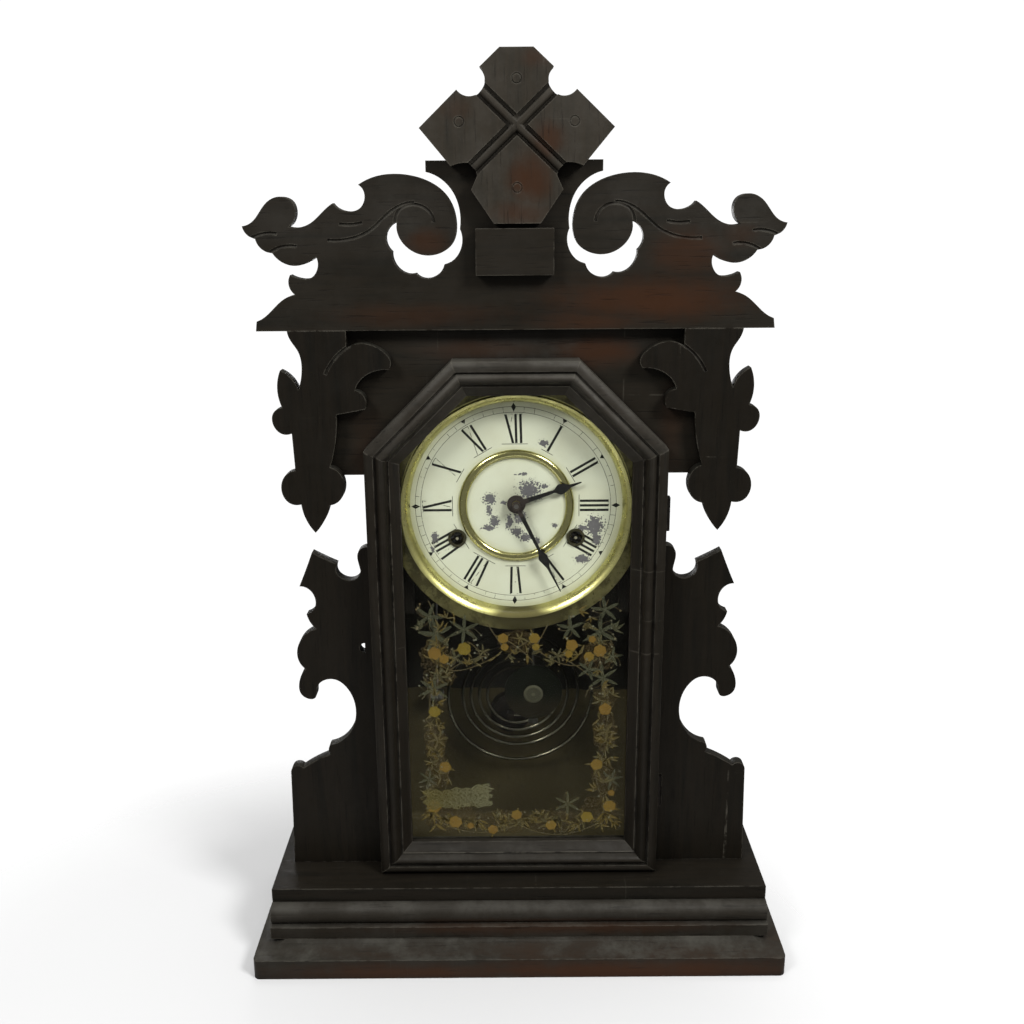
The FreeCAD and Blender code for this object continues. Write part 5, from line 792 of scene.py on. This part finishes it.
# Long stems: three places each, across and up in turn
STEMS = [
    (-56, 238, -50, 212, -54, 185), (-54, 185, -57, 160, -52, 135), (-52, 135, -47, 112, -55, 90),
    (58, 238, 52, 212, 56, 185), (56, 185, 59, 160, 54, 135), (54, 135, 52, 112, 60, 88),
    (-58, 84, -30, 72, 0, 78), (0, 78, 30, 70, 62, 84), (-50, 196, -38, 190, -15, 199),
    (52, 198, 34, 193, 14, 203), (-44, 184, -40, 193, -20, 200), (46, 186, 36, 194, 20, 203),
    (-19, 222, -14, 214, -9, 206), (20, 222, 16, 214, 12, 206), (-8, 197, 1, 206, 14, 214),
    (-12, 214, 0, 206, 10, 196), (36, 80, 30, 72, 28, 88), (-32, 210, -26, 205, -22, 196),
    (-59, 140, -55, 128, -50, 118), (-56, 138, -51, 128, -48, 114), (62, 145, 57, 132, 54, 120),
    (28, 73, 33, 70, 44, 80), (-61, 186, -58, 178, -62, 170), (50, 180, 46, 176, 44, 170),
]
# Runs of small leaves filling the border: start across and up, reach across and up, and how many
SPRAYS = [
    (-55, 96, 2, 92, 15), (57, 96, -2, 92, 15), (-52, 80, 110, 0, 17), (-56, 196, 14, 34, 8),
    (56, 196, -14, 34, 8), (-40, 196, 78, 6, 9),
]
# Thin brown glaze under the border: across, up and half sizes
GLAZES = [
    (-53, 200, 11, 13), (-50, 186, 12, 8), (-54, 140, 8, 15), (-53, 116, 9, 12), (-45, 84, 20, 13),
    (-10, 80, 22, 10), (22, 80, 24, 9), (54, 88, 14, 13), (57, 112, 9, 14), (57, 146, 9, 16),
    (57, 170, 8, 9), (52, 200, 13, 12), (1, 210, 14, 9),
]


PAINT_GAP, LAYER_STEP = 0.04 * MM, 0.01 * MM
LONG_STEM, STAR_RIB, TENDRIL = 0.55, 0.28, 0.32
STAR_SWELL, RIB_BOW, TENDRIL_BOW = 1.1, 0.06, 0.5
# The glaze's tone and steps, a dot's lobes and steps, and how far a tuft's two dots stray across and up
GLAZE_TONE, GLAZE_STEPS, DOT_LOBES, DOT_STEPS, TUFT_DOTS_REACH = 0.5, 40, 3, 10, (7, 6)


def tuft_of_leaves(x, z, length, count, lean, fan, tone):
    """Narrow leaves fanned evenly about one direction."""
    made = []
    for k in range(count):
        share = k / max(count - 1, 1) - 0.5
        angle = math.radians(lean + fan * share + RNG.uniform(-10, 10))
        reach = length * RNG.uniform(0.7, 1.05)
        made.append(leaf(x, z, angle, reach, reach * RNG.uniform(0.15, 0.24), tone * RNG.uniform(0.7, 1.1),
                         RNG.uniform(-0.25, 0.25)))
    return made


def dot(x, z, radius, turn):
    """A small three-lobed speck of a random tone."""
    return disc(x, z, radius, DOT_LOBES, 0.2, turn, RNG.uniform(0, 1), DOT_STEPS)


def polar(x, z, reach, angle):
    """The place at a reach and an angle from another."""
    return x + reach * math.cos(angle), z + reach * math.sin(angle)


def glaze_ovals():
    """Uneven ovals of thin glaze."""
    made = []
    for x, z, wide, high in GLAZES:
        points, faces, tone = disc(0, 0, 1, 7, 0.2, RNG.uniform(0, 6), GLAZE_TONE, GLAZE_STEPS)
        made.append((points * (wide, high) + np.array((x, z)) * MM, faces, tone))
    return made


def blossoms(border):
    """Blossoms of five to seven petals, each with three leaves behind it."""
    for x, z, size, yellow in BLOSSOMS:
        turn = RNG.uniform(0, math.tau)
        radius, petals = size * RNG.uniform(0.88, 1.0), int(RNG.integers(5, 8))
        border["blossoms"].append(disc(x, z, radius, petals, 0.20, turn, yellow, 42, 0.45))
        border["leaves"] += tuft_of_leaves(x, z, size * 1.9, 3, math.degrees(turn), 260, 0.8)


def stars(border):
    """Star leaves with a rib along each point and four tendrils that end in dots."""
    for x, z, size, degrees, yellow in STARS:
        points, turn = int(RNG.integers(5, 7)), math.radians(degrees)
        border["stars"].append(disc(x, z, size * STAR_SWELL, points, 0.84, turn, yellow, points * 14, 1.9))
        for k in range(points):
            angle = turn + math.tau * k / points
            half, tip = polar(x, z, size * 0.5, angle + RIB_BOW), polar(x, z, size, angle)
            border["stems"].append(stem([(x, z), half, tip], STAR_RIB))
        for k in range(4):
            angle, reach = RNG.uniform(0, math.tau), size * RNG.uniform(0.8, 1.15)
            half, tip = polar(x, z, reach * 0.5, angle + TENDRIL_BOW), polar(x, z, reach, angle)
            border["stems"].append(stem([(x, z), half, tip], TENDRIL))
            border["dots"].append(dot(*tip, RNG.uniform(0.5, 0.9), angle))


def tufts(border):
    """The tufts, each with two dots near it."""
    across, up = TUFT_DOTS_REACH
    for x, z, *shape in TUFTS:
        border["leaves"] += tuft_of_leaves(x, z, *shape)
        for k in range(2):
            place = x + RNG.uniform(-across, across), z + RNG.uniform(-up, up)
            border["dots"].append(dot(*place, RNG.uniform(0.4, 0.8), 0.0))


def sprays(border):
    """Runs of small tufts of random length, lean and fan."""
    for x, z, along, up, count in SPRAYS:
        for k in range(count):
            share = (k + RNG.uniform(-0.4, 0.4)) / max(count - 1, 1)
            place = x + along * share + RNG.uniform(-4, 4), z + up * share + RNG.uniform(-3, 3)
            length, number, lean = RNG.uniform(4.5, 8.5), int(RNG.integers(2, 5)), RNG.uniform(0, 360)
            border["leaves"] += tuft_of_leaves(*place, length, number, lean, RNG.uniform(60, 200),
                                               RNG.uniform(0.5, 1.0))


# The border's paints, from the hindmost layer to the foremost
PAINTS = {
    "glaze": glass_paint("brown_glaze", (0.026, 0.016, 0.006), (0.062, 0.043, 0.012), 0.46, 0.60, 60.0),
    "stems": glass_paint("stem_paint", (0.080, 0.074, 0.045), (0.100, 0.070, 0.026), 0.60, 0.85),
    "stars": glass_paint("star_paint", (0.054, 0.056, 0.032), (0.095, 0.072, 0.024), 0.55, 0.70, 300.0),
    "leaves": glass_paint("leaf_paint", (0.060, 0.057, 0.029), (0.105, 0.075, 0.019), 0.58, 0.82),
    "blossoms": glass_paint("blossom_paint", (0.150, 0.088, 0.017), (0.145, 0.105, 0.014), 0.60, 0.90, 160.0),
    "dots": glass_paint("dot_paint", (0.14, 0.14, 0.10), (0.12, 0.09, 0.04), 0.66),
}
PATCH_PAINT = glass_paint("faded_patch", (0.130, 0.124, 0.066), (0.100, 0.083, 0.025), 0.52, 0.70, 60.0)


def flower_border():
    """Stencilled garland of blossoms, star leaves, tufts, thin stems and dots on the back of the pane."""
    border = {name: [] for name in PAINTS}
    border["glaze"] = glaze_ovals()
    blossoms(border)
    stars(border)
    tufts(border)
    sprays(border)
    border["stems"] += [stem(points, LONG_STEM) for points in STEMS]
    depth = GLASS_BACK + PAINT_GAP
    for layer, (name, paint) in enumerate(PAINTS.items()):
        corners, faces, tone = join_flat(border[name], depth + (len(PAINTS) - layer) * LAYER_STEP)
        piece("glass_" + name, corners, faces, paint, "door", tone=tone)
    faded_patch(depth)


PATCH_LEFT, PATCH_RIGHT, PATCH_FOOT, PATCH_HEAD, PATCH_LIFT = -62.0, -18.0, 90.0, 104.0, 3.5
PATCH_GRID = (18, 40)


def faded_patch(depth):
    """Where the border has faded: a pale flag whose edges wander in sines and whose right end widens."""
    rows, columns = PATCH_GRID
    along, rise = np.meshgrid(np.linspace(0, 1, columns), np.linspace(0, 1, rows))
    x = PATCH_LEFT + (PATCH_RIGHT - PATCH_LEFT) * along
    z = PATCH_FOOT + (PATCH_HEAD - PATCH_FOOT) * rise + PATCH_LIFT * along ** 2
    x += along * (1.6 * np.sin(rise * 19) + 1.1 * np.sin(rise * 41 + 1))
    x += (1 - along) * 1.8 * np.sin(rise * 13)
    z += (rise - 0.5) * (3.0 * along ** 3 + 1.5 * np.sin(along * 17) + 0.9 * np.sin(along * 39 + 2))
    flat = np.column_stack([x.ravel() * MM, np.full(x.size, depth), z.ravel() * MM])
    piece("glass_faded_patch", flat, sheet_faces(rows, columns), PATCH_PAINT, "door", tone=1 - along.ravel())


# The lining paper

# Height of the sheet's upper edge, half its width, the edge's slope, and how far the sheet runs forward
PAPER_HEAD, PAPER_HALF, PAPER_LEAN, PAPER_TONGUE = 148.0, 80.0, 0.022, 50.0
PAPER_OFF_FLOOR, PAPER_OFF_BACK, PAPER_WAVE = 0.3, 0.25, 0.15
PAPER_COLUMNS, PAPER_ROWS_FORWARD, PAPER_ROWS_UP = 60, 10, 24


def lining_paper():
    """One blank sheet, folded where the back board meets the case's floor, whose upper edge slopes and wavers
    in sines. Below the fold the run along it goes forward, above it upward."""
    forward, upward = np.linspace(-PAPER_TONGUE, 0, PAPER_ROWS_FORWARD), np.linspace(0, 1, PAPER_ROWS_UP)
    across, run = np.meshgrid(np.linspace(-1, 1, PAPER_COLUMNS), np.concatenate([forward, upward[1:]]))
    x = PAPER_HALF * across
    head = PAPER_HEAD - PAPER_LEAN * x + 0.5 * np.sin(x * 0.35) + 0.3 * np.sin(x * 1.3)
    foot = CASE_FLOOR / MM + PAPER_OFF_FLOOR
    z = foot + (head - foot) * np.maximum(run, 0)
    wave = PAPER_WAVE * np.sin(x * 0.12) * np.sin(z * 0.09)
    y = BACK_FACE / MM - PAPER_OFF_BACK - wave + np.minimum(run, 0)
    corners = np.column_stack([x.ravel(), y.ravel(), z.ravel()]) * MM
    piece("lining_paper", corners, sheet_faces(*x.shape), old_paper(), "case")


# Stage

# Each softbox: its place, its width and its power
SOFTBOXES = {
    "left_box": ((-0.80, -0.88, 1.26), 0.42, 15.5),
    "right_box": ((0.86, -0.82, 1.26), 0.42, 22.5),
    "top_box": ((0.05, 0.15, 1.70), 1.20, 17.0),
    "back_box": ((-0.30, 1.25, 0.26), 0.50, 5.0),
}
AIM = (0, 0, 0.28)
ROOM_GLOW, BACKDROP_GLOW = 0.28, 1.06


def floor_and_lights():
    """A white floor that fades into white, with softboxes above, in front and more weakly behind."""
    corners = np.array([(-1, -1, 0), (1, -1, 0), (1, 1, 0), (-1, 1, 0)]) * FLOOR_REACH + (*FLOOR_MIDDLE, 0)
    mesh = bpy.data.meshes.new("floor")
    mesh.from_pydata(corners.tolist(), [], [(0, 1, 2, 3)])
    mesh.materials.append(studio_floor())
    floor = linked("floor", mesh)
    for name, (place, wide, power) in SOFTBOXES.items():
        light = bpy.data.lights.new(name, "AREA")
        light.size, light.energy = wide, power
        lamp = linked(name, light)
        lamp.location = place
        lamp.rotation_euler = (Vector(AIM) - Vector(place)).to_track_quat("-Z", "Y").to_euler()


def backdrop():
    """A dim room that the camera alone sees as white."""
    room = Finish("studio", "World")
    seen = room.node("LightPath", output="Is Camera Ray")
    strength = ROOM_GLOW + (BACKDROP_GLOW - ROOM_GLOW) * seen
    glow = room.node("Background", {}, {"Color": (1, 1, 1, 1), "Strength": strength})
    room.tree.links.new(glow.socket, room.output.inputs["Surface"])
    bpy.context.scene.world = room.owner
    bpy.context.scene.view_settings.view_transform = "Standard"


FRAME_PIXELS = 1024
FOCAL_PIXELS = 1100
SENSOR_WIDTH = 36.0
CAMERA_PLACE = (-0.0027, -0.6615, 0.4813)
CAMERA_DOWN_ANGLE = 15.84
CAMERA_ROLL_ANGLE = -0.41


def camera():
    """The photograph's view, solved from the base, the door and the dial."""
    lens = bpy.data.cameras.new("view")
    lens.sensor_width = SENSOR_WIDTH
    lens.lens = SENSOR_WIDTH * FOCAL_PIXELS / FRAME_PIXELS
    eye = linked("view", lens)
    tilt = Matrix.Rotation(math.radians(90 - CAMERA_DOWN_ANGLE), 4, "X")
    roll = Matrix.Rotation(math.radians(CAMERA_ROLL_ANGLE), 4, "Z")
    eye.matrix_world = Matrix.Translation(CAMERA_PLACE) @ tilt @ roll
    bpy.context.scene.camera = eye


# Finishes of the CAD nodes

# How far sharp edges are rounded, on boards, on fretwork and mouldings, and on the door's frame
BOARD_EDGE, FRET_EDGE, DOOR_EDGE = 0.7 * MM, 0.5 * MM, 0.3 * MM
EDGE_ANGLE, WELD_REACH = 32, 0.01 * MM


def softened(node, width):
    """Merges a CAD mesh and rounds its sharp edges a little."""
    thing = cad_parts[node]
    weld = thing.modifiers.new("weld", "WELD")
    weld.merge_threshold = WELD_REACH
    bevel = thing.modifiers.new("edge", "BEVEL")
    bevel.width, bevel.segments, bevel.limit_method = width, 2, "ANGLE"
    bevel.angle_limit = math.radians(EDGE_ANGLE)
    bevel.harden_normals = True


def dress(finish, *nodes, edge=0.0):
    """Puts a finish on every slot of the named nodes, and rounds their edges where an edge is given."""
    for node in nodes:
        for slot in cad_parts[node].material_slots:
            slot.material = finish
        if edge:
            softened(node, edge)


# Warm worn ovals and pale filmed ones: across and up, half width and half height in millimetres, and a share
CREST_WARM = [(80, 424, 62, 15, 0.9), (-60, 416, 60, 8, 0.5), (100, 452, 22, 14, 0.7), (-52, 459, 14, 8, 0.7),
              (45, 412, 40, 8, 0.7), (130, 462, 12, 8, 0.35)]
HEAD_WARM = [(48, 394, 26, 11, 0.8), (-25, 396, 40, 8, 0.5), (-90, 330, 14, 30, 0.25), (95, 350, 10, 26, 0.3)]
FINIAL_WARM = [(9, 492, 13, 15, 0.9), (20, 514, 11, 10, 0.8), (12, 556, 9, 6, 0.5), (-33, 530, 12, 8, 0.35),
               (2, 474, 18, 8, 0.6)]
BASE_WARM = [(60, 4, 150, 12, 1.1), (-70, 4, 100, 10, 0.9)]
MOULDING_WARM = [(20, 24, 120, 6, 0.6)]
CREST_PALE = [(-62, 474, 44, 28, 0.75), (66, 474, 44, 28, 0.8), (-125, 470, 34, 22, 0.6),
              (125, 470, 36, 24, 1.0)]
HEAD_PALE = [(0, 400, 78, 20, 1.7)]
# The light shares make lighter and darker copies of one wood: partly each part's own tone, partly painted
# light and shade, lighter on the finial and door head that the lamps above light most, darker on the
# brackets, platform and door uprights that sit lower or in shade. The film and dust shares also set a painted
# sheen on faces turned up.
dress(old_wood("base_wood", "x", red=0.15, film_and_sheen=0.8, dust_and_sheen=0.30, seed=1.3, warm=BASE_WARM),
      "base_board", "plinth_rails", edge=BOARD_EDGE)
dress(old_wood("moulding_wood", "x", red=0.2, film_and_sheen=1.05, dust_and_sheen=0.25, seed=8.3, warm=MOULDING_WARM),
      "base_front_moulding", edge=FRET_EDGE)
dress(old_wood("platform_wood", "x", red=0.1, film_and_sheen=0.14, dust_and_sheen=0.0, seed=1.9, light=0.7),
      "plinth_top_board", edge=BOARD_EDGE)
dress(old_wood("crest_wood", "x", red=0.2, film_and_sheen=0.45, dust_and_sheen=0.4, seed=2.1, light=0.92, warm=CREST_WARM,
               pale=CREST_PALE), "crest_board", "crest_block", edge=FRET_EDGE)
dress(old_wood("head_wood", "x", red=0.35, film_and_sheen=0.28, dust_and_sheen=0.3, seed=9.4, light=0.95, warm=HEAD_WARM,
               pale=HEAD_PALE), "head_panel", edge=FRET_EDGE)
dress(old_wood("finial_wood", "z", red=0.25, film_and_sheen=1.0, dust_and_sheen=0.35, seed=4.7, light=1.6, warm=FINIAL_WARM),
      "finial_carving", edge=FRET_EDGE)
dress(old_wood("bracket_wood", "z", red=0.1, film_and_sheen=0.22, dust_and_sheen=0.35, seed=3.4, light=0.64, scratched=0.6),
      "upper_ear_left", "upper_ear_right", "lower_ear_left", "lower_ear_right", edge=FRET_EDGE)
dress(old_wood("case_wood", "z", red=0.2, film_and_sheen=0.4, dust_and_sheen=0.5, seed=5.2),
      "case_side_left", "case_side_right", "case_top_board", "glue_blocks", edge=FRET_EDGE)
upright_wood = old_wood("door_upright_wood", "z", red=0.3, film_and_sheen=0.28, dust_and_sheen=0.3, seed=6.8, light=0.80)
dress(upright_wood, "door_stile_left", "door_stile_right", edge=DOOR_EDGE)
dress(upright_wood, "glazing_strips")
dress(old_wood("door_level_wood", "x", red=0.1, film_and_sheen=0.75, dust_and_sheen=0.15, seed=7.9, light=0.9),
      "door_bottom_rail", edge=DOOR_EDGE)
dress(old_wood("door_head_wood", "x", red=0.05, film_and_sheen=1.25, dust_and_sheen=0.3, seed=6.2, light=1.28),
      "door_top_rail", "door_diagonals", edge=DOOR_EDGE)
dress(bare_wood("inside_wood", "z", (0.012, 0.0105, 0.007)), "back_board")
dress(bare_wood("rail_wood", "x", (0.010, 0.008, 0.0055)), "inner_battens")
dress(dial_paint(), "dial_plate")
dress(brass("bezel_brass", (0.64, 0.60, 0.24), rough=0.21, lacquer=0.35, flanged=True), "dial_bezel")
dress(brass("ring_brass", (0.46, 0.43, 0.18), 0.3, 0.14, lacquer=0.5), "dial_centre_ring")
dress(steel("grommet_metal", (0.075, 0.070, 0.042), 0.5, 0.45), "winding_grommets")
dress(winding_steel(), "time_winding_arbor", "strike_winding_arbor")
dress(steel("nut_metal", (0.045, 0.036, 0.030), 0.5, 0.5, 0.6), "hand_nut")
dress(steel("rod_wire", (0.016, 0.016, 0.012), 0.4, 0.55, 0.5), "pendulum_rod")
dress(brass("work_brass", (0.30, 0.24, 0.09), 0.55, 0.34), "front_plate", "back_plate", "minute_wheel",
      "hour_wheel", "time_main_wheel", "second_wheel", "centre_wheel", "third_wheel", "escape_wheel",
      "strike_main_wheel", "strike_pin_wheel", "strike_fly")
dress(bob_metal(), "pendulum_bob")
dress(steel("hinge_metal", (0.02, 0.018, 0.016), 0.5, 0.5), "hinge_case_leaves", "hinge_door_leaves",
      "door_catch")
dress(steel("dull_steel"), "plate_pillars", "mainsprings", "hand_arbor", "verge", "gong_hammer",
      "wood_screws")
dress(gong_wire(), "gong_coil")
dress(steel("foot_iron", (0.02, 0.018, 0.016), 0.4, 0.6), "gong_base", "gong_screw")
dress(hand_paint(), "minute_hand", "hour_hand")
dress(clear_glass(), "door_glass")

numerals()
minute_track()
flower_border()
lining_paper()
floor_and_lights()
backdrop()
camera()
